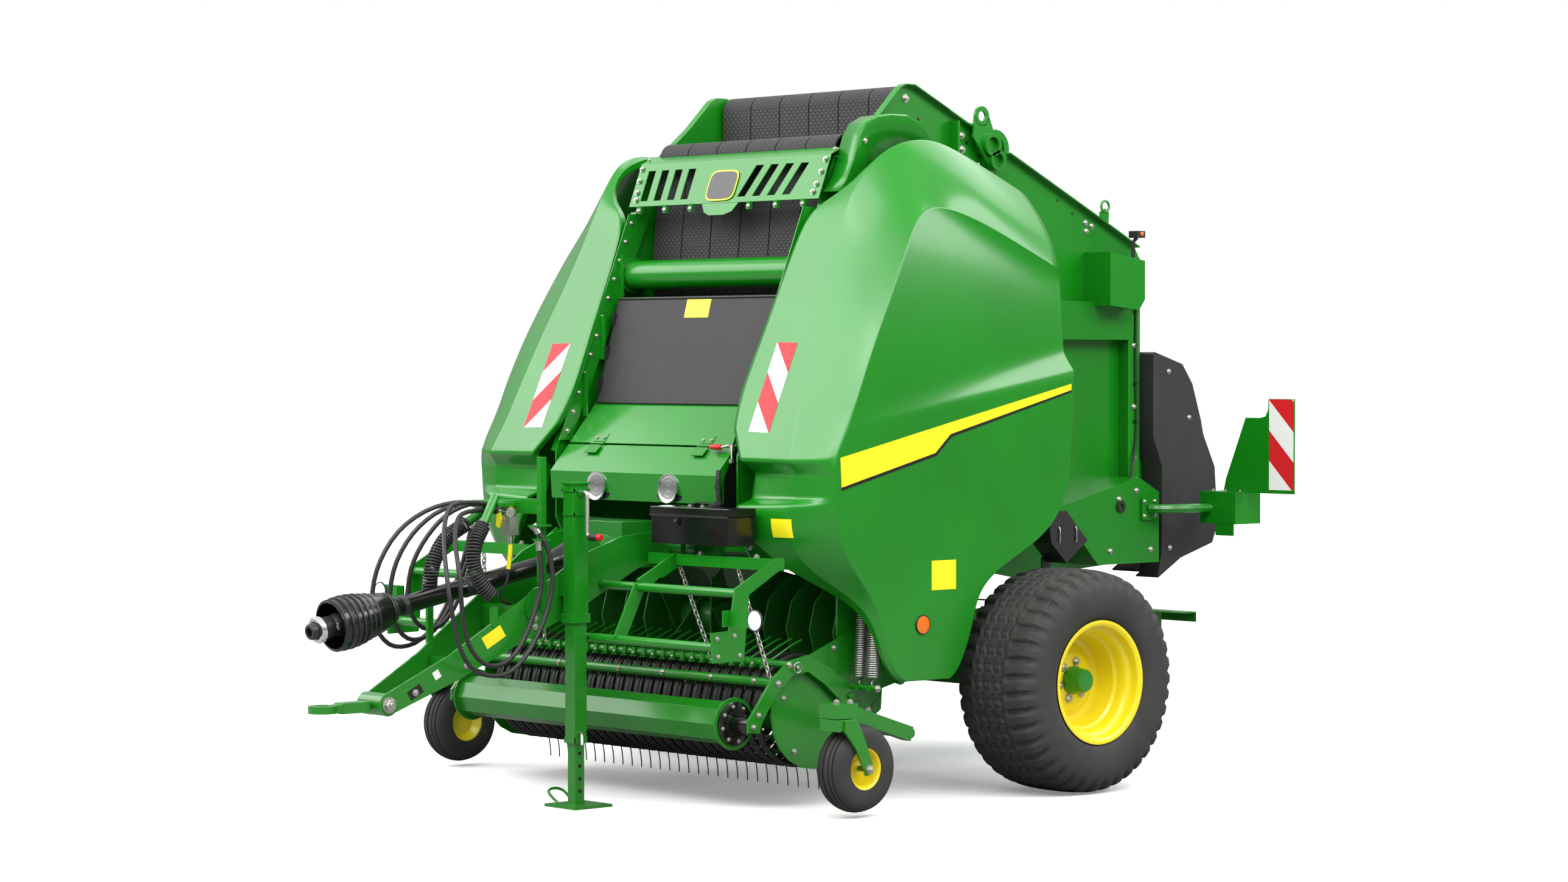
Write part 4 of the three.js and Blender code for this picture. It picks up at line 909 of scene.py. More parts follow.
# %% Pressing film on a panel
def film(name, body, onto, outline, toward, finish, step=0.03, lift=0.0012):
    graph = bpy.context.evaluated_depsgraph_get()
    tree = BVHTree.FromObject(onto, graph)
    mesh = bmesh.new()
    mesh.faces.new([mesh.verts.new(p) for p in outline])
    spans = [BACK, UP] if abs(toward.x) > 0.5 else [LEFT, UP]
    for line in spans:
        reach = [p.dot(line) for p in outline]
        for n in range(1, int((max(reach) - min(reach)) / step) + 1):
            parts = mesh.verts[:] + mesh.edges[:] + mesh.faces[:]
            bmesh.ops.bisect_plane(mesh, geom=parts, plane_co=line * (min(reach) + n * step), plane_no=line)
    for vert in mesh.verts:
        spot = tree.ray_cast(vert.co, toward)[0]
        if spot is not None:
            vert.co = spot - toward * lift
    data = bpy.data.meshes.new(name)
    mesh.to_mesh(data)
    mesh.free()
    data.shade_smooth()
    data.materials.append(finish)
    piece = put_in_scene(name, data)
    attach(piece, body)
    print("pressed", name, "with", len(data.polygons), "faces")
    return piece

# %% Door stripes, their painted shadows, hazard films and labels
STRIPE = [(-1.318, 1.503), (-0.700, 1.638), (0.094, 1.809), (0.094, 1.781), (-0.666, 1.594), (-0.758, 1.514),
          (-1.311, 1.377)]
# A thin black band just under each yellow stripe is a painted shadow, pressed on like the film.
STRIPE_SHADOW_BAND = [(-0.666, 1.594), (0.094, 1.781), (0.094, 1.771), (-0.658, 1.582), (-0.750, 1.502), (-1.311, 1.363),
             (-1.311, 1.377), (-0.758, 1.514)]
FRONT_FILM = [(0.843, 1.990), (0.712, 1.992), (0.713, 1.607), (0.846, 1.604)]
FRONT_LABEL = [(0.940, 1.242), (1.052, 1.242), (1.052, 1.162), (0.940, 1.162)]
SIDE_LABEL = [(-0.780, 1.050), (-0.632, 1.050), (-0.632, 0.922), (-0.780, 0.922)]

for side, word in SIDES:
    door, body = DOORS[word], "side_door_" + word
    inward, back = LEFT * -side, BACK
    film("stripe_" + word, body, door, [at(1.5 * side, y, z) for y, z in STRIPE], inward, STICKER_YELLOW)
    # The black band under the stripe is a painted shadow.
    film("stripe_shadow_" + word, body, door, [at(1.5 * side, y, z) for y, z in STRIPE_SHADOW_BAND], inward, BLACK_VINYL_AND_PAINTED_SHADE)
    front_finish = DOOR_FILM_LEFT if side > 0 else DOOR_FILM_RIGHT
    film("door_film_" + word, body, door, [at(x * side, -1.7, z) for x, z in FRONT_FILM], back, front_finish)
    if side > 0:
        film("plain_label_" + word, body, door, [at(x, -1.7, z) for x, z in FRONT_LABEL], back, STICKER_YELLOW,
             0.01, 0.0025)
    film("plain_side_label_" + word, body, door, [at(1.5 * side, y, z) for y, z in SIDE_LABEL], inward,
         STICKER_YELLOW)

# %% Round reflectors
def round_reflector(name, body, spot, outward, radius, finish):
    """A moulded reflector: a thin rim round a domed lens."""
    def lens_build(mesh):
        turned(mesh, [(0, 0), (radius * 0.93, 0), (radius * 0.93, 0.006), (radius * 0.6, 0.0085), (0, 0.0095)],
               spot, outward, 40)

    def rim_build(mesh):
        turned(mesh, [(radius * 0.9, 0), (radius, 0), (radius, 0.006), (radius * 0.96, 0.0085),
                      (radius * 0.92, 0.0065), (radius * 0.9, 0.0065)], spot, outward, 40)

    shape(name, body, finish, lens_build)
    shape(name + "_rim", body, BLACK_PLASTIC, rim_build)


for side, word in SIDES:
    outward = LEFT * side
    round_reflector("amber_reflector_" + word, "side_door_" + word, at(1.2215 * side, -0.834, 0.776), outward,
                    0.042, AMBER_LENS)

# %% [markdown]
# ## Bolts
# A baler is bolted together with zinc-plated hexagon bolts on washers. One function takes the places of a
# whole row and makes it as one piece, and the rows are listed beside the panel that they hold.

# %% Rows of bolts
BOLT_SIZE = 0.011


def bolt_row(name, body, spots, outward, size=BOLT_SIZE):
    def build(mesh):
        for spot in spots:
            bolt(mesh, at(*spot), outward, size)

    plated(name, body, build)


for side, word in SIDES:
    out = LEFT * side
    wall = 0.6305 * side
    bolt_row("apex_bolts_" + word, "baler", [(wall, -0.369, 3.090), (wall, -0.074, 2.968), (wall, -0.013, 2.936),
                                             (wall, -0.010, 2.874)], out, 0.014)
    bolt_row("gate_top_bolts_" + word, "gate", [(wall, 0.809, 2.560), (wall, 0.851, 2.545), (wall, 0.815, 2.520)],
             out)
    bolt_row("gate_post_bolts_" + word, "gate", [(0.6925 * side, 1.080, z) for z in (2.176, 1.983, 1.693, 1.45)],
             out)
    bolt_row("girder_bolts_" + word, "gate", [(0.8005 * side, y, z) for y, z in
                                              ((0.86, 1.262), (0.98, 1.300), (0.80, 1.02), (1.08, 1.02))], out)
    bolt_row("wall_bolts_" + word, "baler", [(0.6305 * side, y, z) for y, z in
                                             ((-0.30, 2.60), (-0.90, 1.10), (-1.30, 1.10))], out)

# %% [markdown]
# ## Grille at the top
# A bent sheet with eight slots closes the front above the roller. Four bolts at each end hold it, and the
# plate in its middle stays bare: smooth black with a thin yellow edge.

# %% Grille bolts and blank plate
GRILLE_TILT = Vector((0, -0.93, 0.37))


def grille_y(z):
    return -0.918 + (z - 2.624) * 0.078 / 0.202


bolt_row("grille_bolts", "baler", [(x * s, grille_y(z) - 0.003, z) for s in (1, -1)
                                   for x, z in ((0.628, 2.800), (0.622, 2.745), (0.614, 2.690), (0.606, 2.655))],
         GRILLE_TILT, 0.010)
bolt_row("grille_top_bolts", "baler", [(0.636 * s, -0.800, 2.8435) for s in (1, -1)], Vector((0, -0.5, 0.87)), 0.010)


def shield(half_wide, half_high, lift):
    """A rounded plate on the grille: points along a superellipse."""
    points = []
    for k in range(40):
        a = math.tau * k / 40
        c, s = math.cos(a), math.sin(a)
        x = half_wide * math.copysign(abs(c) ** 0.45, c)
        z = 2.705 + half_high * math.copysign(abs(s) ** 0.45, s)
        points.append(at(x - 0.02, grille_y(z) - 0.003, z) + GRILLE_TILT * lift)
    return points


shape("blank_plate_edge", "baler", STICKER_YELLOW, lambda mesh: prism(mesh, shield(0.098, 0.070, 0.001),
                                                                      GRILLE_TILT * 0.002))
shape("blank_plate", "baler", GLOSS_BLACK, lambda mesh: prism(mesh, shield(0.091, 0.063, 0.0031),
                                                              GRILLE_TILT * 0.001))


def tongue(mesh):
    outline = [(-0.13, 2.624), (-0.10, 2.585), (-0.06, 2.570), (0.04, 2.570), (0.09, 2.585), (0.12, 2.624)]
    prism(mesh, [at(x, grille_y(z), z) for x, z in outline], GRILLE_TILT * -0.004)
    for s in (1, -1):
        for x in (0.20, 0.38, 0.56):
            bar(mesh, at(x * s - 0.012, -0.930, 2.590), at(x * s + 0.012, -0.915, 2.626))


painted("grille_tongue", "baler", tongue)
bolt_row("tongue_bolts", "baler", [(x * s, -0.9302, 2.604) for s in (1, -1) for x in (0.20, 0.38, 0.56)],
         -BACK, 0.009)

# %% [markdown]
# ## Channels beside the belts
# Between each door and the belts runs a folded channel with a row of bolts, and black plates close the sides
# of the net cover. They are what you see in the deep gap next to the cover.

# %% Front channels
CHANNEL = ((2.59, -0.990), (1.55, -1.405))


def channel_spot(share):
    (z0, y0), (z1, y1) = CHANNEL
    return y0 + (y1 - y0) * share, z0 + (z1 - z0) * share


for side, word in SIDES:
    def web(mesh, side=side):
        (z0, y0), (z1, y1) = CHANNEL
        outline = [(y0 + 0.03, z0), (y1 + 0.03, z1), (y1 + 0.10, z1), (y0 + 0.16, z0)]
        side_plate(mesh, outline, 0.596 * side, 0.004 * side)
        for share in (0.28, 0.55, 0.8):
            y, z = channel_spot(share)
            bar(mesh, at(0.570 * side, y + 0.085, z - 0.10), at(0.596 * side, y + 0.095, z + 0.10))

    painted("channel_" + word, "baler", web)
    spots = []
    for n in range(12):
        y, z = channel_spot(0.04 + 0.92 * n / 11)
        spots.append((0.5955 * side, y + 0.06, z))
    bolt_row("channel_bolts_" + word, "baler", spots, LEFT * -side, 0.009)

    def cover_edge(mesh, side=side):
        outline = [(-1.050, 2.196), (-1.184, 1.724), (-1.120, 1.724), (-0.985, 2.196)]
        side_plate(mesh, outline, 0.560 * side, 0.005 * side)
        for z in (2.10, 1.95, 1.80):
            y = -1.05 - (2.196 - z) * 0.284
            bar(mesh, at(0.548 * side, y - 0.012, z - 0.03), at(0.566 * side, y + 0.03, z + 0.03))

    shape("net_cover_edge_" + word, "baler", BLACK_PLASTIC, cover_edge)


def cover_rim(mesh):
    for z, y in ((2.196, -1.052), (1.722, -1.186)):
        tube(mesh, [at(-0.556, y, z), at(0.556, y, z)], 0.007, 10)


shape("net_cover_rim", "baler", BLACK_PLASTIC, cover_rim)
label = [at(x, -1.4, z) for x, z in ((-0.070, 2.188), (0.095, 2.188), (0.095, 2.106), (-0.070, 2.106))]
film("plain_cover_label", "baler", frame["nodes"]["net_cover"], label, BACK, STICKER_YELLOW)

# %% [markdown]
# ## Hood, lid and work lamps
# The net box closes with a lid on two butt hinges: the knuckle and one leaf stay on the hood, the other leaf
# turns with the lid. A toggle latch with a red handle holds it. Two round work lamps are let into the lid,
# and a rubber strap keeps it from rattling.

# %% Hinges of the lid
HINGES_AT = (-0.362, 0.373)


def hinge_leaf(mesh, y, z, dy, dz):
    for x in HINGES_AT:
        prism(mesh, [at(x - 0.04, y, z), at(x + 0.04, y, z), at(x + 0.04, y + dy, z + dz),
                     at(x - 0.04, y + dy, z + dz)], Vector((0, -0.003, 0.003)))


def hinge_knuckles(mesh):
    for x in HINGES_AT:
        turned(mesh, [(0, -0.045), (0.007, -0.045), (0.007, 0.045), (0, 0.045)], at(x, -1.340, 1.540),
               LEFT, 14)
    hinge_leaf(mesh, -1.330, 1.546, 0.030, 0.034)


painted("lid_hinges", "baler", hinge_knuckles)
painted("lid_hinge_leaves", "net_box_lid",
              lambda mesh: hinge_leaf(mesh, -1.350, 1.530, -0.035, -0.034))
bolt_row("lid_hinge_bolts", "baler", [(x + d, -1.322, 1.563) for x in HINGES_AT for d in (-0.026, 0.026)],
         Vector((0, -0.7, 0.7)), 0.0065)

# %% Toggle latch and strap
def toggle(mesh):
    tube(mesh, [at(0.520, -1.372, 1.536), at(0.552, -1.372, 1.540), at(0.580, -1.366, 1.546)], 0.006, 10)
    bar(mesh, at(0.574, -1.374, 1.520), at(0.600, -1.362, 1.556))
    tube(mesh, [at(0.590, -1.372, 1.545), at(0.600, -1.380, 1.510), at(0.604, -1.382, 1.478)], 0.005, 10)
    turned(mesh, [(0, 0), (0.010, 0), (0.010, 0.012), (0, 0.012)], at(0.604, -1.380, 1.478), -BACK, 14)


plated("toggle_latch", "baler", toggle)


def toggle_grip(mesh):
    grip = [(0, 0), (0.010, 0.002), (0.013, 0.010), (0.013, 0.060), (0.010, 0.070), (0, 0.072)]
    turned(mesh, grip, at(0.524, -1.372, 1.5365), -LEFT, 20)


shape("toggle_grip", "baler", RED_PLASTIC, toggle_grip)


def strap(mesh):
    profile = [(-1.4455, 1.440), (-1.4500, 1.400), (-1.4475, 1.330), (-1.4400, 1.302)]
    for (y0, z0), (y1, z1) in zip(profile, profile[1:]):
        prism(mesh, [at(0.580, y0, z0), at(0.604, y0, z0), at(0.604, y1, z1), at(0.580, y1, z1)],
              Vector((0, -0.006, 0)))
    bar(mesh, at(0.572, -1.458, 1.290), at(0.612, -1.440, 1.304))
    bar(mesh, at(0.574, -1.458, 1.360), at(0.610, -1.450, 1.372))


shape("lid_strap", "net_box_lid", BLACK_PLASTIC, strap)

# %% Work lamps
def lamp_in_lid(name, x):
    spot = at(x, -1.4435, 1.352)
    outward = Vector((0, -1, 0.06)).normalized()

    def frame_build(mesh):
        outline = []
        for k in range(36):
            a = math.tau * k / 36
            c, s = math.cos(a), math.sin(a)
            wide = 0.088 * math.copysign(abs(c) ** 0.6, c)
            high = 0.080 * math.copysign(abs(s) ** 0.6, s)
            outline.append(at(x + wide, -1.4385 - 0.0007, 1.350 + high * 0.72))
        prism(mesh, outline, Vector((0, -0.0012, 0)))

    def bowl(mesh):
        profile = [(0.0, 0.0020), (0.018, 0.0025), (0.026, 0.004), (0.034, 0.0035), (0.044, 0.0068), (0.050, 0.0062),
                   (0.058, 0.0095), (0.062, 0.0120), (0.0655, 0.0120), (0.0655, 0.0), (0.0, 0.0)]
        turned(mesh, profile, spot, outward, 48)

    shape(name + "_cutout", "net_box_lid", GLOSS_BLACK, frame_build)
    shape(name, "net_box_lid", CHROME, bowl)


lamp_in_lid("work_lamp_right", -0.240)
lamp_in_lid("work_lamp_left", 0.256)

# %% [markdown]
# ## Toolbox, jack and guards
# The toolbox is a moulded box with a strap handle. The jack has a bare steel crank with a black grip and a
# red end, and a bent pin locks its foot. Chains of real links hold the crop guard up.

# %% Toolbox fittings
def toolbox_strap(mesh):
    route = [at(0.560, -1.565, 1.286), at(0.574, -1.565, 1.296), at(0.610, -1.565, 1.301), at(0.646, -1.565, 1.301),
             at(0.682, -1.565, 1.296), at(0.696, -1.565, 1.286)]
    for a, b in zip(route, route[1:]):
        prism(mesh, [a + Vector((0, -0.014, 0)), b + Vector((0, -0.014, 0)), b + Vector((0, 0.014, 0)),
                     a + Vector((0, 0.014, 0))], Vector((0, 0, 0.005)))
    for x in (0.566, 0.690):
        bar(mesh, at(x - 0.016, -1.583, 1.2855), at(x + 0.016, -1.547, 1.294))
    bar(mesh, at(0.364, -1.6475, 1.243), at(0.877, -1.6435, 1.2535))


shape("toolbox_strap", "toolbox_lid", BLACK_PLASTIC, toolbox_strap)
bolt_row("toolbox_screws", "toolbox_lid", [(0.590, -1.610, 1.2855), (0.672, -1.610, 1.2855)], UP, 0.009)


def hasp(mesh):
    bar(mesh, at(0.532, -1.6490, 1.205), at(0.556, -1.6405, 1.238))
    turned(mesh, [(0, 0), (0.009, 0), (0.009, 0.008), (0.006, 0.010), (0, 0.010)], at(0.544, -1.6485, 1.222),
           -BACK, 18)


shape("toolbox_lock", "baler", BLACK_PLASTIC, hasp)

# %% Crank and grip of the jack
JACK_X, JACK_Y = 0.270, -1.980
JACK_HALF, BAND_HALF = 0.0381, 0.043


def crank(mesh):
    points = [(0.038, 1.350), (0.066, 1.350), (0.075, 1.346), (0.078, 1.336), (0.078, 1.180), (0.081, 1.168),
              (0.090, 1.160), (0.150, 1.160)]
    tube(mesh, [at(JACK_X + x, JACK_Y, z) for x, z in points], 0.0092, 16)


plated("crank_rod", "baler", crank)
grip_start = at(JACK_X + 0.092, JACK_Y, 1.160)
shape("crank_grip", "baler", BLACK_PLASTIC, lambda mesh: turned(
    mesh, [(0, 0), (0.012, 0), (0.0155, 0.004), (0.0165, 0.030), (0.0145, 0.058), (0, 0.058)], grip_start,
    LEFT, 24))
shape("crank_end", "baler", RED_PLASTIC, lambda mesh: turned(
    mesh, [(0, 0.058), (0.0145, 0.058), (0.0165, 0.064), (0.0165, 0.074), (0.012, 0.081), (0, 0.083)], grip_start,
    LEFT, 24))

# %% Foot pin and the painted shade in its holes
def foot_pin(mesh):
    x, y = JACK_X, JACK_Y
    route = [at(x + 0.034, y, 0.318), at(x + 0.046, y - 0.006, 0.317), at(x + 0.056, y - 0.012, 0.308),
             at(x + 0.066, y - 0.020, 0.268)]
    tube(mesh, route, 0.0075, 14)
    turned(mesh, [(0, -0.036), (0.0105, -0.036), (0.0105, -0.033), (0, -0.033)], at(x, y, 0.318), LEFT, 16)


plated("foot_pin", "jack_leg", foot_pin)


def pin_hole_shade(mesh):
    for z in (0.067, 0.120, 0.175, 0.230):
        for sign in (1, -1):
            turned(mesh, [(0, 0.0252), (0.0085, 0.0252), (0.0085, 0.0258), (0, 0.0258)], at(JACK_X, JACK_Y, z),
                   LEFT * sign, 20)


# Thin black discs at the pin holes are painted shade inside the holes.
shape("foot_pin_hole_shade", "jack_foot", BLACK_VINYL_AND_PAINTED_SHADE, pin_hole_shade)

# %% Bands and collar of the jack
def jack_trim(mesh):
    x, y = JACK_X, JACK_Y
    bar(mesh, at(x - 0.045, y - 0.045, 1.384), at(x + 0.045, y + 0.045, 1.392))
    for z in (1.250, 1.352):
        for near, far in ((JACK_HALF, BAND_HALF), (-BAND_HALF, -JACK_HALF)):
            bar(mesh, at(x + near, y - BAND_HALF, z), at(x + far, y + BAND_HALF, z + 0.012))
            bar(mesh, at(x - BAND_HALF, y + near, z), at(x + BAND_HALF, y + far, z + 0.012))
    turned(mesh, [(0, 0.038), (0.022, 0.038), (0.022, 0.046), (0, 0.046)], at(x, y, 1.350), LEFT, 24)


painted("jack_trim", "baler", jack_trim)


def jack_collar(mesh):
    x, y, outer, inner, low, high = JACK_X, JACK_Y, 0.0365, 0.0335, 0.273, 0.300
    bar(mesh, at(x - outer, y - outer, low), at(x + outer, y - inner, high))
    bar(mesh, at(x + inner, y - outer, low), at(x + outer, y + outer, high))
    bar(mesh, at(x - outer, y + inner, low), at(x + outer, y + outer, high))
    bar(mesh, at(x - outer, y - outer, low), at(x - inner, y + outer, high))


painted("jack_collar", "jack_leg", jack_collar)

# %% Chain links
def chain(name, top, bottom, size=0.0115, wire=0.0034):
    """Oval links, each turned a quarter against the last, from top to bottom."""
    total = (bottom - top).length
    count = round(total / (size * 2.05))
    down = (bottom - top).normalized()
    first, second = across(down)

    def build(mesh):
        for n in range(count):
            middle = top + down * (total * (n + 0.5) / count)
            wide = first if n % 2 else second
            ring = [middle + spoke(down * size * 1.45, wide * size * 0.75, math.tau * k / 12) for k in range(12)]
            tube(mesh, ring + [ring[0]], wire, 6, False)

    links = shape(name, "baler", ZINC, build)
    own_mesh(links)


for side, word in SIDES:
    chain("chain_inner_" + word, at(0.480 * side, -1.575, 1.030), at(0.575 * side, -1.478, 0.640))
    chain("chain_outer_" + word, at(0.880 * side, -1.590, 1.030), at(0.985 * side, -1.505, 0.572))

# %% Guard fittings: hexagon bracket, reflectors and bolts
def hexagon_bracket(mesh, side):
    middle = at(0.455 * side, -1.500, 1.100)
    turns = [math.radians(60 * k + 30) for k in range(6)]
    outer = [middle + spoke(BACK * 0.056, UP * 0.060, a) for a in turns]
    inner = [middle + spoke(BACK, UP, a) * 0.028 for a in turns]
    depth = Vector((0.008 * side, 0, 0))
    for k in range(6):
        j = (k + 1) % 6
        prism(mesh, [outer[k], outer[j], inner[j], inner[k]], depth)
    bar(mesh, at(0.448 * side, -1.560, 1.032), at(0.456 * side, -1.470, 1.062))
    bar(mesh, at(0.448 * side, -1.552, 1.026), at(0.520 * side, -1.474, 1.036))


for side, word in SIDES:
    painted("guard_bracket_" + word, "baler", lambda mesh: hexagon_bracket(mesh, side))

    def reflector_arm(mesh):
        bar(mesh, at(1.130 * side, -1.864, 0.812), at(1.285 * side, -1.858, 0.880))
        bar(mesh, at(1.130 * side, -1.900, 0.812), at(1.136 * side, -1.858, 0.880))

    painted("reflector_arm_" + word, "baler", reflector_arm)
    round_reflector("white_reflector_" + word, "baler", at(1.300 * side, -1.866, 0.846), -BACK, 0.045,
                    REFLECTOR_WHITE)
    bolt_row("guard_bolts_" + word, "baler", [(1.1335 * side, y, z) for y, z in
                                              ((-1.930, 0.765), (-1.835, 0.772), (-1.925, 0.690), (-1.805, 0.690))],
             LEFT * side, 0.008)
    bolt_row("guard_top_bolts_" + word, "baler", [(x * side, -1.575, 1.081) for x in (0.62, 0.98)],
             UP, 0.012)

# %% [markdown]
# ## Springs
# Long tension springs carry most of the pickup's weight. A spring is one wire wound close, with a straight
# end above and below. It shortens as the pickup rises; here each is one fixed coil on the baler.

# %% Pickup springs
def spring(name, top, bottom, radius=0.026, wire=0.0042):
    down = (bottom - top).normalized()
    length = (bottom - top).length
    first, second = across(down)
    body_start, body_end = 0.09, 0.91
    turns = int(length * (body_end - body_start) / (wire * 2.25))

    def build(mesh):
        route = [top, top + down * (length * body_start * 0.6)]
        for n in range(turns * 12 + 1):
            share = body_start + (body_end - body_start) * n / (turns * 12)
            route.append(top + down * (length * share) + spoke(first, second, math.tau * n / 12) * radius)
        route += [bottom - down * (length * (1 - body_end) * 0.6), bottom]
        tube(mesh, route, wire, 7)

    coil = shape(name, "baler", SPRING_STEEL, build, 60)
    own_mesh(coil)


for side, word in SIDES:
    for place, x in (("outer", 1.150), ("inner", 1.072)):
        spring("spring_" + place + "_" + word, at(x * side, -1.040, 0.895), at(x * side, -1.067, 0.520))

    def spring_lugs(mesh):
        for x in (1.150, 1.072):
            bar(mesh, at((x - 0.010) * side, -1.090, 0.500), at((x + 0.010) * side, -1.045, 0.524))
        turned(mesh, [(0, 0), (0.013, 0), (0.013, 0.175), (0, 0.175)], at(1.010 * side, -1.067, 0.512),
               LEFT * side, 18)

    painted("spring_lug_" + word, "pickup", spring_lugs)
    bolt_row("spring_bolts_" + word, "pickup", [(1.186 * side, -1.067, 0.512)], LEFT * side, 0.012)
    painted("spring_hanger_" + word, "baler", lambda mesh: bar(
        mesh, at(0.986 * side, -1.060, 0.888), at(1.185 * side, -1.022, 0.900)))

# %% [markdown]
# ## Pickup
# Black wrapper bands stand side by side with a slot between two of them, and spring tines comb through the
# slots as the reel turns. Each band has a rolled bead down its middle, which stiffens it.

# %% Wrapper bands
DRUM_Y, DRUM_Z, DRUM_R = -1.262, 0.412, 0.240
TINE_PITCH, TINE_COUNT = 0.066, 29
BAND_SECTION = [(-0.0250, -0.008), (-0.0225, -0.001), (-0.0090, 0.0), (-0.0060, 0.0045), (0.0, 0.0060),
                (0.0060, 0.0045), (0.0090, 0.0), (0.0225, -0.001), (0.0250, -0.008)]


def bands(mesh):
    stations = [math.radians(60 + 231 * k / 34) for k in range(35)]
    route = [(DRUM_Y + DRUM_R * math.cos(a), DRUM_Z + DRUM_R * math.sin(a),
              math.cos(a), math.sin(a)) for a in stations]
    route.append((-0.940, 0.400, 0.2, -0.98))
    route.append((-0.932, 0.409, 0.9, 0.0))
    for n in range(TINE_COUNT - 1):
        x = (n - (TINE_COUNT - 2) / 2) * TINE_PITCH
        rows = [[mesh.verts.new(at(x + dx, y + dy * lift, z + dz * lift)) for dx, lift in BAND_SECTION]
                for y, z, dy, dz in route]
        for here, there in zip(rows, rows[1:]):
            for k in range(len(here) - 1):
                mesh.faces.new([here[k], here[k + 1], there[k + 1], there[k]])
    tube(mesh, [at(-0.950, -0.937, 0.408), at(0.950, -0.937, 0.408)], 0.009, 10)


wrap = shape("wrapper_bands", "pickup", BLACK_PLASTIC, bands, 30)
thick = wrap.modifiers.new("sheet", "SOLIDIFY")
thick.thickness = 0.0025
thick.offset = -1.0
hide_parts("pickup_bands")

# %% Reel and its bars
REEL_Y, REEL_Z, BAR_R, TIP_R = -1.240, 0.345, 0.140, 0.288


def reel_point(radius, degrees):
    a = math.radians(degrees)
    return REEL_Y + radius * math.cos(a), REEL_Z + radius * math.sin(a)


def reel(mesh):
    tube(mesh, [at(-0.975, REEL_Y, REEL_Z), at(0.975, REEL_Y, REEL_Z)], 0.032, 28)
    for x in (-0.944, -0.472, 0.0, 0.472, 0.944):
        centre = at(x, REEL_Y, REEL_Z)
        turned(mesh, [(0, -0.004), (0.075, -0.004), (0.075, 0.004), (0, 0.004)], centre, LEFT, 32)
        for k in range(4):
            y, z = reel_point(BAR_R + 0.012, 20 + 90 * k)
            tip = at(x, y, z)
            sideways = (tip - centre).cross(LEFT).normalized()
            half = Vector((0.004, 0, 0))
            arm = [centre + sideways * 0.035, tip + sideways * 0.018, tip - sideways * 0.018, centre - sideways * 0.035]
            prism(mesh, [corner - half for corner in arm], half * 2)
    for k in range(4):
        y, z = reel_point(BAR_R, 20 + 90 * k)
        tube(mesh, [at(-0.950, y, z), at(0.950, y, z)], 0.011, 14)


body_reel = shape("reel_bars", "pickup_reel", GREEN_CASTING, reel)
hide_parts("pickup_reel")

# %% Spring tines
def tines(mesh):
    for k in range(4):
        middle = 20 + 90 * k
        for n in range(TINE_COUNT):
            x = (n - (TINE_COUNT - 1) / 2) * TINE_PITCH
            route = []
            for step in range(15):
                a = math.radians(24 * step * 2)
                y, z = reel_point(BAR_R, middle)
                route.append(at(x + 0.008 - 0.0011 * step, y + 0.0155 * math.cos(a), z + 0.0155 * math.sin(a)))
            for share in (0.12, 0.35, 0.6, 0.82, 1.0):
                y, z = reel_point(BAR_R + (TIP_R - BAR_R) * share, middle - 4 * share * share - 1)
                route.append(at(x, y, z))
            tube(mesh, route, 0.0029, 6)


shape("spring_tines", "pickup_reel", WORN_STEEL, tines, 60)

# %% [markdown]
# ## Crop guard and roller
# A row of thin rods presses the crop down behind the roller. The roller is folded from eight flat strips;
# its hubs are black cast flanges with eight bolts on a black stub shaft.

# %% Rods and bolts of the crop guard
def guard_rods(mesh):
    for n in range(28):
        x = (n - 13.5) * 0.066
        route = [at(x, -1.478, 0.606), at(x, -1.400, 0.642), at(x, -1.300, 0.690), at(x, -1.238, 0.712)]
        tube(mesh, route, 0.0042, 8)
        bar(mesh, at(x - 0.010, -1.462, 0.604), at(x + 0.010, -1.418, 0.644))


painted("guard_rods", "wind_guard", guard_rods)
bolt_row("guard_rod_bolts", "wind_guard", [((n - 13.5) * 0.066, -1.4625, 0.620) for n in range(0, 28, 2)],
         -BACK, 0.006)
bolt_row("guard_tube_bolts", "wind_guard", [(x, -1.5200, 0.554) for x in (-0.78, -0.42, 0.0, 0.30, 0.62, 0.90)],
         Vector((0, -1, 0.2)), 0.010)

# %% Hubs of the crop roller
ROLLER_Y, ROLLER_Z = -1.636, 0.378
for side, word in SIDES:
    out = LEFT * side
    hub = at(0, ROLLER_Y, ROLLER_Z)
    flange = [(0.034, 0.9075), (0.094, 0.9075), (0.094, 0.914), (0.084, 0.918), (0.060, 0.920), (0.0575, 0.9325),
              (0.034, 0.9325)]
    shape("roller_flange_" + word, "windrow_roller", GLOSS_BLACK, lambda mesh: turned(
        mesh, flange, hub, out, 48))
    bolt_row("roller_flange_bolts_" + word, "windrow_roller",
             [(0.9180 * side, ROLLER_Y + 0.075 * math.cos(math.pi * k / 4 + 0.2),
               ROLLER_Z + 0.075 * math.sin(math.pi * k / 4 + 0.2)) for k in range(8)], out, 0.0075)
    sleeve = [(0.0205, 0.938), (0.034, 0.938), (0.036, 0.945), (0.036, 1.012), (0.033, 1.0195), (0.0205, 1.0195)]
    shape("roller_sleeve_" + word, "wind_guard", GLOSS_BLACK, lambda mesh: turned(
        mesh, sleeve, hub, out, 40))
    bolt_row("guard_arm_bolts_" + word, "wind_guard", [(1.0345 * side, y, z) for y, z in
                                                       ((-1.640, 0.372), (-1.610, 0.420), (-1.500, 0.548),
                                                        (-1.440, 0.625))], out)
    bolt_row("cheek_bolts_" + word, "pickup", [(1.0005 * side, y, z) for y, z in
                                               ((-1.330, 0.600), (-1.440, 0.480), (-1.150, 0.680), (-0.900, 0.640),
                                                (-1.380, 0.250))], out, 0.010)
    bolt_row("pin_plate_bolts_" + word, "pickup", [(1.0125 * side, -1.085, 0.420), (1.0125 * side, -0.960, 0.400)],
             out, 0.012)

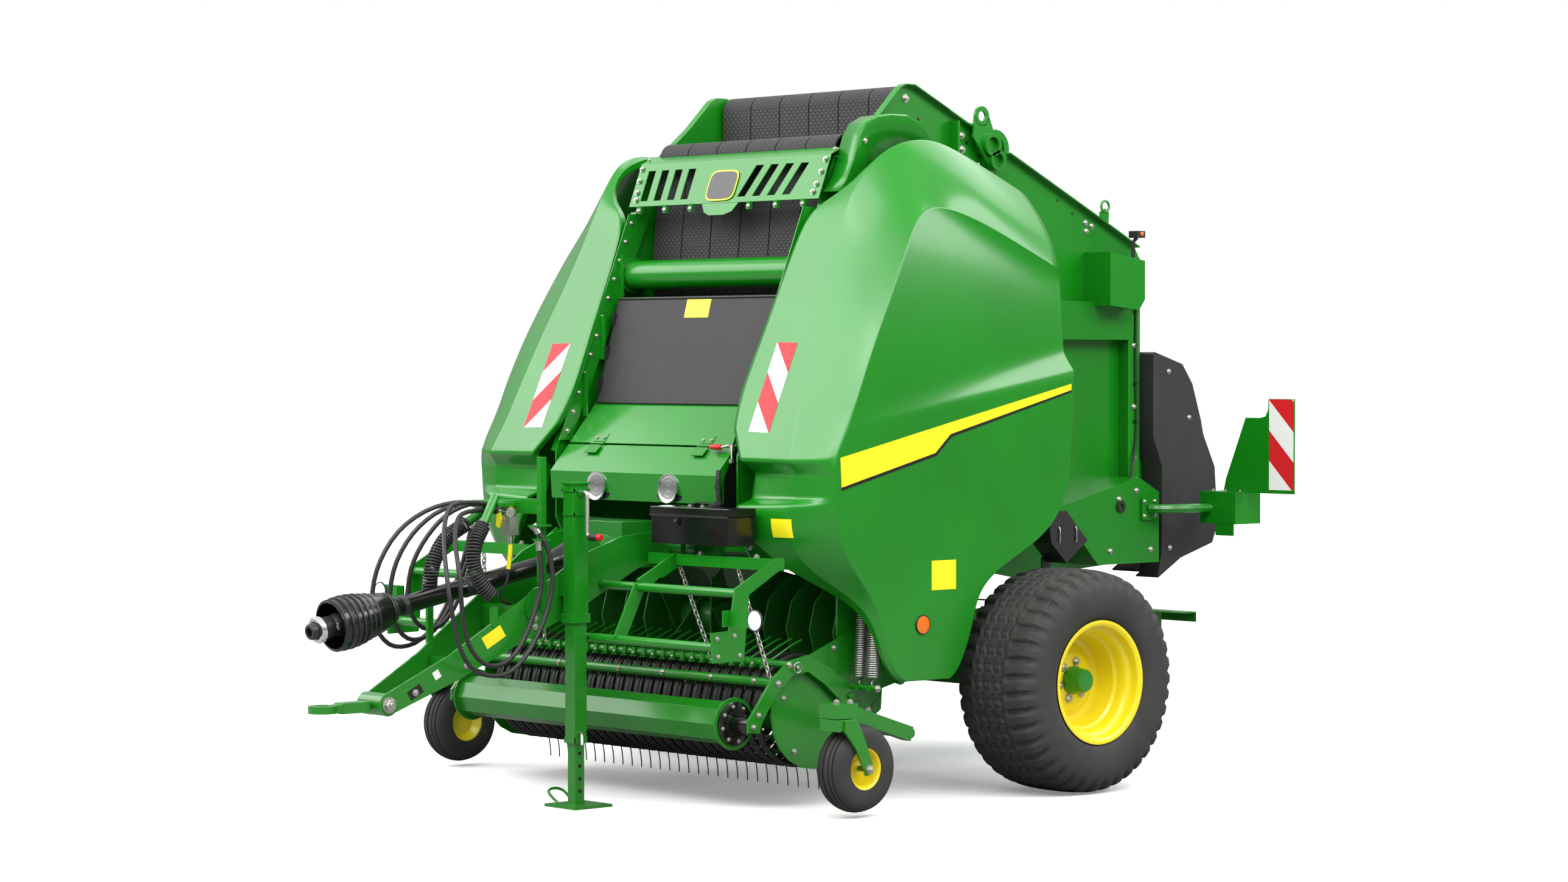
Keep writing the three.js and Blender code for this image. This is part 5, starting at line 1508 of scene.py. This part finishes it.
# %% Ring pins and caster bolts
def ring_pin(name, body, spot, outward, size=0.021):
    """A locking pin with its spring ring."""
    first, second = across(outward)

    def build(mesh):
        ring = [spot + outward * 0.012 + spoke(first, second, math.tau * k / 20) * size for k in range(20)]
        tube(mesh, ring + [ring[0]], 0.0026, 8, False)
        turned(mesh, [(0, 0), (0.0085, 0), (0.0085, 0.016), (0.006, 0.019), (0, 0.019)], spot, outward, 18)

    plated(name, body, build)


for side, word in SIDES:
    ring_pin("guard_ring_pin_" + word, "wind_guard", at(1.0345 * side, -1.400, 0.612), LEFT * side)
    ring_pin("arm_ring_pin_" + word, "pickup", at(1.0125 * side, -1.120, 0.470), LEFT * side, 0.024)
    bolt_row("caster_hub_bolt_" + word, "gauge_caster_" + word, [(1.4505 * side, -1.364, 0.209)],
             LEFT * side, 0.015)
    bolt_row("caster_head_bolt_" + word, "pickup", [(1.366 * side, -1.475, 0.4855), (1.40 * side, -1.430, 0.4855)],
             UP, 0.014)

# %% [markdown]
# ## Drive shaft, drawbar and hoses
# The drive shaft's guard is glossy black with stiff rings on its cone. Zinc-plated couplers with coloured caps
# join the hoses to the holder, and their colours tell the operator which tap is which. Each is turned from
# a profile, on the line in which its hose leaves the holder.

# %% Drive shaft guard rings and yoke
PTO_TIP, PTO_REAR = at(0, -3.126, 0.800), at(0, -1.640, 1.084)
PTO_WAY = (PTO_REAR - PTO_TIP).normalized()


def cone_rings(mesh):
    for along, radius in ((0.070, 0.108), (0.100, 0.1115), (0.130, 0.1125), (0.160, 0.1105), (0.190, 0.1065),
                          (0.220, 0.0995), (0.250, 0.0935), (0.345, 0.0735), (0.365, 0.0615)):
        ring = [(radius - 0.004, along - 0.006), (radius + 0.003, along - 0.004), (radius + 0.003, along + 0.004),
                (radius - 0.004, along + 0.006)]
        turned(mesh, ring, PTO_TIP, PTO_WAY, 40)
    for along in (0.420, 0.760, 0.800, 1.200):
        turned(mesh, [(0.039, along), (0.0445, along + 0.004), (0.0445, along + 0.026), (0.039, along + 0.030)],
               PTO_TIP, PTO_WAY, 40)


shape("shaft_guard_rings", "baler", BLACK_PLASTIC, cone_rings)


def yoke(mesh):
    turned(mesh, [(0.018, -0.0005), (0.030, -0.0005), (0.0385, 0.010), (0.0385, 0.016), (0.018, 0.016)], PTO_TIP,
           PTO_WAY, 40)
    first, _ = across(PTO_WAY)
    for sign in (1, -1):
        turned(mesh, [(0, 0.036), (0.017, 0.036), (0.017, 0.046), (0.012, 0.049), (0, 0.049)],
               PTO_TIP + PTO_WAY * 0.075, first * sign, 24)


plated("shaft_yoke", "pto_shaft", yoke)

# %% Locking collar of the drive shaft
def collar(mesh):
    turned(mesh, [(0.0385, -0.020), (0.052, -0.018), (0.056, -0.012), (0.056, 0.004), (0.0385, 0.010)], PTO_TIP,
           PTO_WAY, 48)


def collar_core(mesh):
    turned(mesh, [(0.019, -0.050), (0.030, -0.050), (0.034, -0.044), (0.034, -0.021), (0.040, -0.020), (0.040, 0.012),
                  (0.046, 0.014), (0.046, 0.060), (0.019, 0.060)], PTO_TIP, PTO_WAY, 48)


shape("shaft_collar", "pto_shaft", CHROME, collar)
shape("shaft_collar_core", "pto_shaft", BLACK_PLASTIC, collar_core)

# %% Drawbar bolts and bare labels
def clevis_bolt(mesh):
    for sign in (1, -1):
        bolt(mesh, at(0.0805 * sign, -2.830, 0.475), LEFT * sign, 0.026)
    for sign in (1, -1):
        for y, z in ((-2.130, 0.810), (-2.130, 0.775), (-2.460, 0.622), (-2.700, 0.520)):
            x = 0.0705 + 0.155 * (2.830 + y)
            bolt(mesh, at(x * sign, y, z), Vector((sign, -0.155, 0)).normalized(), 0.011)


plated("drawbar_bolts", "baler", clevis_bolt)


def drawbar_label(mesh, y, z, half_long, half_high):
    """A label lying on the left cheek, tilted as the cheek rises."""
    rise = Vector((0.155, 1.0, 0.60)).normalized()
    out = Vector((1, -0.155, 0)).normalized()
    up = out.cross(rise).normalized() * -1
    spot = at(0.0708 + 0.155 * (2.830 + y), y, z)
    corners = [spot + rise * (a * half_long) + up * (b * half_high) for a, b in ((-1, -1), (1, -1), (1, 1), (-1, 1))]
    prism(mesh, corners, out * 0.0008)


shape("drawbar_label_yellow", "baler", STICKER_YELLOW, lambda mesh: drawbar_label(mesh, -2.330, 0.738, 0.052, 0.028))
shape("drawbar_label_white", "baler", STICKER_WHITE, lambda mesh: drawbar_label(mesh, -2.600, 0.590, 0.016, 0.018))
shape("drawbar_label_black", "baler", BLACK_VINYL_AND_PAINTED_SHADE, lambda mesh: drawbar_label(mesh, -2.700, 0.522, 0.034, 0.020))

# %% Toothed disc of the drawbar's height lock
def toothed_disc(mesh):
    centre = at(0.170, -2.100, 0.860)
    outline = []
    for k in range(60):
        radius = 0.086 if k % 2 else 0.080
        outline.append(centre + spoke(BACK, UP, math.radians(60 + 210 * k / 59)) * radius)
    outline.append(centre + Vector((0, 0.02, -0.05)))
    prism(mesh, outline, Vector((0.010, 0, 0)))


painted("toothed_disc", "baler", toothed_disc)

# %% Couplers and caps at the holder
COUPLERS = [("hose_outer", RED_PLASTIC), ("hose_middle", RED_PLASTIC), ("hose_inner", STICKER_YELLOW),
            ("hose_long", STICKER_YELLOW), ("hose_short", BLACK_PLASTIC)]
BODY_PROFILE = [(0, -0.070), (0.012, -0.070), (0.0165, -0.066), (0.0165, -0.046), (0.0130, -0.044), (0.0130, -0.036),
                (0.0175, -0.034), (0.0175, -0.016), (0.0125, -0.012), (0.0125, -0.001), (0, -0.001)]
for node, cap_finish in COUPLERS:
    start, after = [at(*p) for p in HOSE_ROUTES[node][:2]]
    way = (after - start).normalized()
    plated("coupler_" + node, "baler", lambda mesh: turned(mesh, BODY_PROFILE, start, way, 28))
    cap = [(0.0166, -0.086), (0.0205, -0.084), (0.0205, -0.062), (0.0166, -0.060)]
    shape("coupler_cap_" + node, "baler", cap_finish, lambda mesh: turned(mesh, cap, start, way, 28))
    end, before = [at(*p) for p in (HOSE_ROUTES[node][-1], HOSE_ROUTES[node][-2])]
    back = (end - before).normalized()
    collar = [(0, 0.001), (0.014, 0.001), (0.014, 0.030), (0.018, 0.032), (0.018, 0.046), (0, 0.046)]
    plated("hose_end_" + node, "baler", lambda mesh: turned(mesh, collar, end, back, 24))


def hose_brackets(mesh):
    bar(mesh, at(0.192, -2.180, 1.204), at(0.236, -2.085, 1.212))
    bar(mesh, at(0.192, -2.155, 1.144), at(0.232, -2.085, 1.152))


painted("hose_brackets", "baler", hose_brackets)

# %% Oil tap and its pipe
def tap(mesh):
    bar(mesh, at(0.062, -2.215, 1.165), at(0.112, -2.165, 1.245))
    turned(mesh, [(0, -0.03), (0.019, -0.03), (0.021, -0.026), (0.021, 0.026), (0.019, 0.03), (0, 0.03)],
           at(0.090, -2.190, 1.262), Vector((0.7, -0.7, 0)), 28)
    turned(mesh, [(0, 0), (0.012, 0), (0.012, 0.026), (0.009, 0.030), (0.009, 0.040), (0, 0.040)],
           at(0.086, -2.190, 1.165), -UP, 20)


plated("oil_tap", "baler", tap)


def tap_tube(mesh):
    tube(mesh, smooth_route([at(0.086, -2.190, 1.126), at(0.084, -2.192, 1.080), at(0.078, -2.196, 1.020)], 8), 0.0095,
         16)


shape("tap_sleeve", "baler", STICKER_YELLOW, tap_tube)
shape("tap_handle", "baler", STICKER_YELLOW, lambda mesh: prism(
    mesh, [at(0.030, -2.226, 1.205), at(0.050, -2.226, 1.196), at(0.066, -2.226, 1.232), at(0.058, -2.226, 1.262),
           at(0.036, -2.226, 1.256)], Vector((0, 0.008, 0))))


def lower_pipe(mesh):
    route = smooth_route([at(0.078, -2.196, 1.020), at(0.070, -2.200, 0.960), at(0.040, -2.215, 0.915),
                          at(0.010, -2.180, 0.880), at(0.0, -2.120, 0.862)], 26)
    tube(mesh, route, 0.0065, 12)


shape("tap_pipe", "baler", HOSE_RUBBER, lower_pipe)

# %% [markdown]
# ## Top of the machine
# Where the tailgate hinges, a lifting eye and two tube ends stand out; bolts dot the side frame, and black discs of
# painted shade mark its holes.
# The tailgate has a ring for lifting and an amber lamp on a short post, with a cable down its rear post.

# %% Lifting eye, tube ends and the painted shade in frame holes
def annulus(mesh, centre, axis, inner, outer, depth, sides=40):
    turned(mesh, [(inner, 0), (outer, 0), (outer, depth), (inner, depth)], centre, axis, sides)


for side, word in SIDES:
    out = LEFT * side

    def hinge_eye(mesh):
        annulus(mesh, at(0.664 * side, 0.076, 3.027), out, 0.024, 0.045, 0.012)
        outline = [(0.031, 3.027), (0.045, 2.995), (0.076, 2.983), (0.107, 2.995), (0.121, 3.027), (0.178, 2.900),
                   (0.206, 2.840), (0.190, 2.790), (0.120, 2.800), (0.060, 2.880), (0.020, 2.930)]
        side_plate(mesh, outline, 0.664 * side, 0.012 * side)
        for (y, z), inner, outer in (((0.127, 2.898), 0.036, 0.052), ((0.160, 2.828), 0.032, 0.047)):
            annulus(mesh, at(0.632 * side, y, z), out, inner, outer, 0.068)

    painted("hinge_eye_" + word, "baler", hinge_eye)
    # Thin black discs at the holes of the frame and the tailgate are painted shade inside the holes.
    shape("frame_hole_shade_" + word, "baler", BLACK_VINYL_AND_PAINTED_SHADE, lambda mesh: [
        turned(mesh, [(0, 0), (0.008, 0), (0.008, 0.0006), (0, 0.0006)], at(0.6302 * side, y, z), out, 20)
        for y, z in ((-0.288, 3.000), (-0.288, 2.978), (-0.288, 2.956), (0.02, 2.905), (-0.62, 2.80))])
    shape("gate_hole_shade_" + word, "gate", BLACK_VINYL_AND_PAINTED_SHADE, lambda mesh: [
        turned(mesh, [(0, 0), (0.007, 0), (0.007, 0.0006), (0, 0.0006)], at(0.6302 * side, y, z), out, 18)
        for y, z in ((0.62, 2.66), (0.72, 2.60), (0.34, 2.40), (0.34, 1.95))])

# %% Fittings and amber lamp on the tailgate
for side, word in SIDES:
    def gate_fittings(mesh):
        ring = [at(0.6425 * side, 0.932, 2.640) + spoke(BACK, UP, math.tau * k / 24) * 0.026 for k in range(24)]
        tube(mesh, ring + [ring[0]], 0.0055, 10, False)
        side_plate(mesh, [(0.50, 2.36), (0.50, 2.20), (0.515, 2.20), (0.515, 2.36)], 0.6305 * side, 0.045 * side)
        side_plate(mesh, [(0.46, 1.25), (0.46, 2.005), (0.475, 2.005), (0.475, 1.25)], 0.6305 * side, 0.030 * side)

    painted("gate_fittings_" + word, "gate", gate_fittings)

    def lamp_post(mesh):
        tube(mesh, [at(0.760 * side, 1.000, 2.386), at(0.760 * side, 1.000, 2.470), at(0.775 * side, 1.010, 2.492)],
             0.009, 14)
        sided_bar(mesh, side, (0.745, 0.985, 2.490), (0.800, 1.040, 2.522))

    shape("side_lamp_" + word, "gate", BLACK_PLASTIC, lamp_post)
    shape("side_lamp_lens_" + word, "gate", AMBER_LENS, lambda mesh: turned(
        mesh, [(0, 0.0), (0.010, 0.0), (0.010, 0.004), (0.006, 0.007), (0, 0.008)],
        at(0.8005 * side, 1.015, 2.508), LEFT * side, 28))

# %% Cable down the tailgate
for side, word in SIDES:
    cable = smooth_route([at(x * side, y, z) for x, y, z in
                          ((0.740, 0.990, 2.386), (0.720, 1.060, 2.330), (0.6985, 1.085, 2.240), (0.6985, 1.085, 1.900),
                           (0.6985, 1.085, 1.520), (0.720, 1.040, 1.400), (0.760, 0.980, 1.352))], 50)
    shape("gate_cable_" + word, "gate", HOSE_RUBBER,
                  lambda mesh: tube(mesh, cable, 0.0065, 12))

    def grommets(mesh):
        annulus(mesh, at(0.8002 * side, 0.870, 1.228), LEFT * side, 0.012, 0.028, 0.010)
        for z in (1.62, 1.80, 1.98, 2.14):
            sided_bar(mesh, side, (0.6925, 1.074, z), (0.707, 1.096, z + 0.008))

    shape("cable_grommets_" + word, "gate", BLACK_PLASTIC, grommets)

# %% [markdown]
# ## Guard at the end of the low front roller
# Beside the grille a hood of bent sheet covers the roller's drive on the left. Two curves, one for each edge
# of the bend, are joined by a strip, and the outer curve is closed downwards by a flat side.

# %% Roller guard
GUARD_EDGE = [(-0.890, 2.655), (-0.845, 2.720), (-0.806, 2.800), (-0.772, 2.900), (-0.730, 2.960), (-0.660, 2.994),
              (-0.580, 3.006), (-0.480, 3.006), (-0.395, 2.975), (-0.330, 2.924)]
GUARD_FROM, GUARD_TO = 0.648, 0.755


def roller_guard(mesh):
    inner = [mesh.verts.new(at(GUARD_FROM, y, z)) for y, z in GUARD_EDGE]
    bend = [mesh.verts.new(at(GUARD_TO - 0.006, y, z)) for y, z in GUARD_EDGE]
    outer = [mesh.verts.new(at(GUARD_TO, y + 0.004, z - 0.006)) for y, z in GUARD_EDGE]
    foot = [mesh.verts.new(at(GUARD_TO, y + 0.085, z - 0.150)) for y, z in GUARD_EDGE]
    for one, two in ((inner, bend), (bend, outer), (outer, foot)):
        for i in range(len(one) - 1):
            mesh.faces.new([one[i], one[i + 1], two[i + 1], two[i]])


guard = shape("roller_guard", "baler", FIELD_GREEN, roller_guard, 30)
sheet = guard.modifiers.new("sheet", "SOLIDIFY")
sheet.thickness = 0.004
bolt_row("roller_guard_bolts", "baler", [(GUARD_TO + 0.001, -0.850, 2.664), (GUARD_TO + 0.001, -0.735, 2.880)],
         LEFT, 0.009)

# %% [markdown]
# ## Back of the machine
# Hazard boards and tail lamps sit on arms at both sides, so that traffic sees how wide the machine is. The
# film on the boards faces forwards and backwards, so each board gets two thin sheets of it.

# %% Hazard boards and tail lamps
for side, word in SIDES:
    board = BOARD_FILM_LEFT if side > 0 else BOARD_FILM_RIGHT
    shape("board_film_" + word, "gate", board, lambda mesh: [
        sided_bar(mesh, side, (1.258, y, 1.305), (1.406, y + 0.001, 1.730)) for y in (1.3988, 1.4062)])

    def lens_pair(mesh, near, far, depth):
        sided_bar(mesh, side, (near, 1.508, 1.158), (far, 1.508 + depth, 1.274))

    shape("tail_lamp_red_" + word, "gate", RED_PLASTIC, lambda mesh: lens_pair(mesh, 0.905, 0.995, 0.012))
    shape("tail_lamp_amber_" + word, "gate", AMBER_LENS, lambda mesh: lens_pair(mesh, 1.000, 1.095, 0.012))
    shape("tail_lamp_back_" + word, "gate", BLACK_PLASTIC, lambda mesh: lens_pair(mesh, 0.898, 1.102, 0.004))
    bolt_row("board_bolts_" + word, "gate", [(x * side, 1.388, 1.2922) for x in (1.00, 1.09, 0.92)],
             UP, 0.008)
    bolt_row("arm_bolts_" + word, "gate", [(0.8125 * side, y, z) for y, z in ((1.025, 1.180), (1.095, 1.180),
                                                                              (1.025, 1.248), (1.095, 1.248))],
             LEFT * side, 0.008)
    bolt_row("cover_screws_" + word, "gate", [(0.7602 * side, y, z) for y, z in ((1.395, 1.640), (1.250, 1.86),
                                                                                 (1.26, 1.02))],
             LEFT * side, 0.010)
    round_reflector("rear_reflector_" + word, "gate", at(0.700 * side, 1.6035, 1.260), Vector((0, 1, -0.08)), 0.040,
                    RED_PLASTIC)

# %% Wire clips and cap of the oil tank
def tank_clips(mesh):
    for y in (0.320, 0.430):
        route = [at(0.8120, y, 1.080), at(0.9340, y, 1.080), at(0.9360, y, 1.090), at(0.9360, y, 1.140),
                 at(0.9320, y, 1.150), at(0.8120, y, 1.150)]
        tube(mesh, route, 0.0035, 8)


plated("tank_clips", "gate", tank_clips)
shape("tank_cap", "gate", BLACK_PLASTIC, lambda mesh: turned(
    mesh, [(0, 0), (0.032, 0), (0.032, 0.012), (0.028, 0.018), (0, 0.018)], at(0.870, 0.310, 1.219),
    Vector((0, -0.08, 1)), 32))

# %% [markdown]
# ## The solids that stay
# Panels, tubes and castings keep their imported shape. Each gets the finish of its material, and a narrow
# bevel where two faces meet, because folded and cut sheet never has a knife edge.

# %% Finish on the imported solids
FINISH_OF_SLOT = {"green_paint": FIELD_GREEN, "yellow_paint": STRAW_YELLOW, "rubber": HOSE_RUBBER,
                  "tyre": TYRE_RUBBER, "grey_plastic": COVER_PLASTIC, "black_gloss": GLOSS_BLACK,
                  "steel": SPRING_STEEL, "cast_green": GREEN_CASTING}
SPECIAL = {"front_belts": BELT, "gate_belts": BELT, "pickup_reel": WORN_STEEL, "feed_rotor": GREEN_CASTING,
           "pickup_bands": BLACK_PLASTIC, "oil_tank": BLACK_PLASTIC, "windrow_roller": FIELD_GREEN}
EDGE = {"side_door_left": 0.010, "side_door_right": 0.010, "front_hood": 0.003, "net_box_lid": 0.003,
        "rear_cover_left": 0.006, "rear_cover_right": 0.006, "hitch_ring": 0.005, "toolbox": 0.006,
        "toolbox_lid": 0.006, "oil_tank": 0.008}


def finish_solid(name, node, slot_name):
    mesh = node.data
    if "custom_normal" in mesh.attributes:
        mesh.attributes.remove(mesh.attributes["custom_normal"])
    mesh.shade_smooth()
    mesh.materials.clear()
    mesh.materials.append(SPECIAL.get(name, FINISH_OF_SLOT[slot_name]))
    joined = node.modifiers.new("joined", "WELD")
    joined.merge_threshold = 0.00005
    rounded(node, EDGE.get(name, 0.0022))


for entry in frame["record"]["subparts"]:
    finish_solid(entry["node"], frame["nodes"][entry["node"]], entry["material_slot"])

# %% [markdown]
# ## Light and floor
# Three wide soft lamps stand in an arc in front, high enough that every surface which leans back mirrors
# one of them: that is the pale sheen of enamel in a studio. Upright surfaces mirror the floor and the low
# part of the world instead, so both are kept dimmer for reflections than they look to the camera.

# %% World and lamps
WORLD_LOW, WORLD_HIGH = 0.22, 1.15
FLOOR_FOR_LIGHT = "#909090"
world = bpy.data.worlds.new("studio")
bpy.context.scene.world = world
world.use_nodes = True
tree = world.node_tree
tree.nodes.clear()
rays = add(tree, "ShaderNodeLightPath")
seen = add(tree, "ShaderNodeMath", {"operation": "MAXIMUM"},
           {0: rays.outputs["Is Camera Ray"], 1: rays.outputs["Is Transmission Ray"]})
way = add(tree, "ShaderNodeTexCoord").outputs["Generated"]
height = add(tree, "ShaderNodeSeparateXYZ", {}, {"Vector": way})
rising = add(tree, "ShaderNodeMapRange", {}, {"Value": height.outputs["Z"], "From Min": 0.0, "From Max": 0.5,
                                              "To Min": WORLD_LOW, "To Max": WORLD_HIGH})
soft = add(tree, "ShaderNodeBackground", {}, {"Color": colour("#f2f5f2"), "Strength": rising.outputs["Result"]})
white = add(tree, "ShaderNodeBackground", {}, {"Color": (1, 1, 1, 1), "Strength": 1.0})
sky = add(tree, "ShaderNodeMixShader", {}, {0: seen.outputs[0], 1: soft.outputs[0], 2: white.outputs[0]})
add(tree, "ShaderNodeOutputWorld", {}, {"Surface": sky.outputs[0]})


def lamp(name, place, target, width, height, watts):
    data = bpy.data.lights.new(name, "AREA")
    data.shape = "RECTANGLE"
    data.size = width
    data.size_y = height
    data.energy = watts
    piece = put_in_scene(name, data)
    piece.location = place
    piece.rotation_mode = "QUATERNION"
    piece.rotation_quaternion = (target - place).to_track_quat("-Z", "Y")


middle = at(0, -0.7, 1.2)
lamp("front_right", at(-9.0, -6.6, 7.0), middle, 9, 6, 540)
lamp("front_middle", at(-2.6, -9.8, 9.4), middle, 8, 6, 730)
lamp("front_left", at(4.4, -8.6, 9.8), middle, 7, 6, 700)
lamp("overhead", at(-0.5, 3.5, 7.5), middle, 7, 6, 260)
lamp("side_left", at(8.5, -1.5, 8.0), middle, 6, 4, 520)
lamp("rear_left", at(7.6, 5.6, 6.2), middle, 6, 3, 330)
print("six lamps")

# %% Floor
material, tree = blank("studio_floor")
spot = add(tree, "ShaderNodeTexCoord").outputs["Object"]
reach = add(tree, "ShaderNodeVectorMath", {"operation": "LENGTH"}, {0: spot})
far = add(tree, "ShaderNodeMapRange", {}, {"Value": reach.outputs["Value"], "From Min": 3.5, "From Max": 9.0})
rays = add(tree, "ShaderNodeLightPath")
seen = add(tree, "ShaderNodeMath", {"operation": "MAXIMUM"},
           {0: rays.outputs["Is Camera Ray"], 1: rays.outputs["Is Transmission Ray"]})
share = add(tree, "ShaderNodeMath", {"operation": "MULTIPLY"}, {0: far.outputs[0], 1: seen.outputs[0]})
sheet_colour = add(tree, "ShaderNodeMix", {"data_type": "RGBA"},
                   {"Factor": seen.outputs[0], 6: colour(FLOOR_FOR_LIGHT), 7: colour("#f7f7f7")})
paper = add(tree, "ShaderNodeBsdfPrincipled", {}, {"Base Color": sheet_colour.outputs[2], "Roughness": 0.7,
                                                   "Specular IOR Level": 0.2})
bright = add(tree, "ShaderNodeEmission", {}, {"Color": (1, 1, 1, 1), "Strength": 1.0})
mixed = add(tree, "ShaderNodeMixShader", {}, {0: share.outputs[0], 1: paper.outputs[0], 2: bright.outputs[0]})
lift = add(tree, "ShaderNodeMath", {"operation": "MULTIPLY"}, {0: seen.outputs[0], 1: 0.22})
glow = add(tree, "ShaderNodeEmission", {}, {"Color": (1, 1, 1, 1), "Strength": lift.outputs[0]})
floor_mix = add(tree, "ShaderNodeAddShader", {}, {0: mixed.outputs[0], 1: glow.outputs[0]})
add(tree, "ShaderNodeOutputMaterial", {}, {"Surface": floor_mix.outputs[0]})
data = bpy.data.meshes.new("studio_floor")
data.from_pydata([(-60, -60, 0), (60, -60, 0), (60, 60, 0), (-60, 60, 0)], [], [(0, 1, 2, 3)])
data.materials.append(material)
put_in_scene("studio_floor", data)
bpy.context.scene.view_settings.view_transform = "Standard"
print("floor laid")
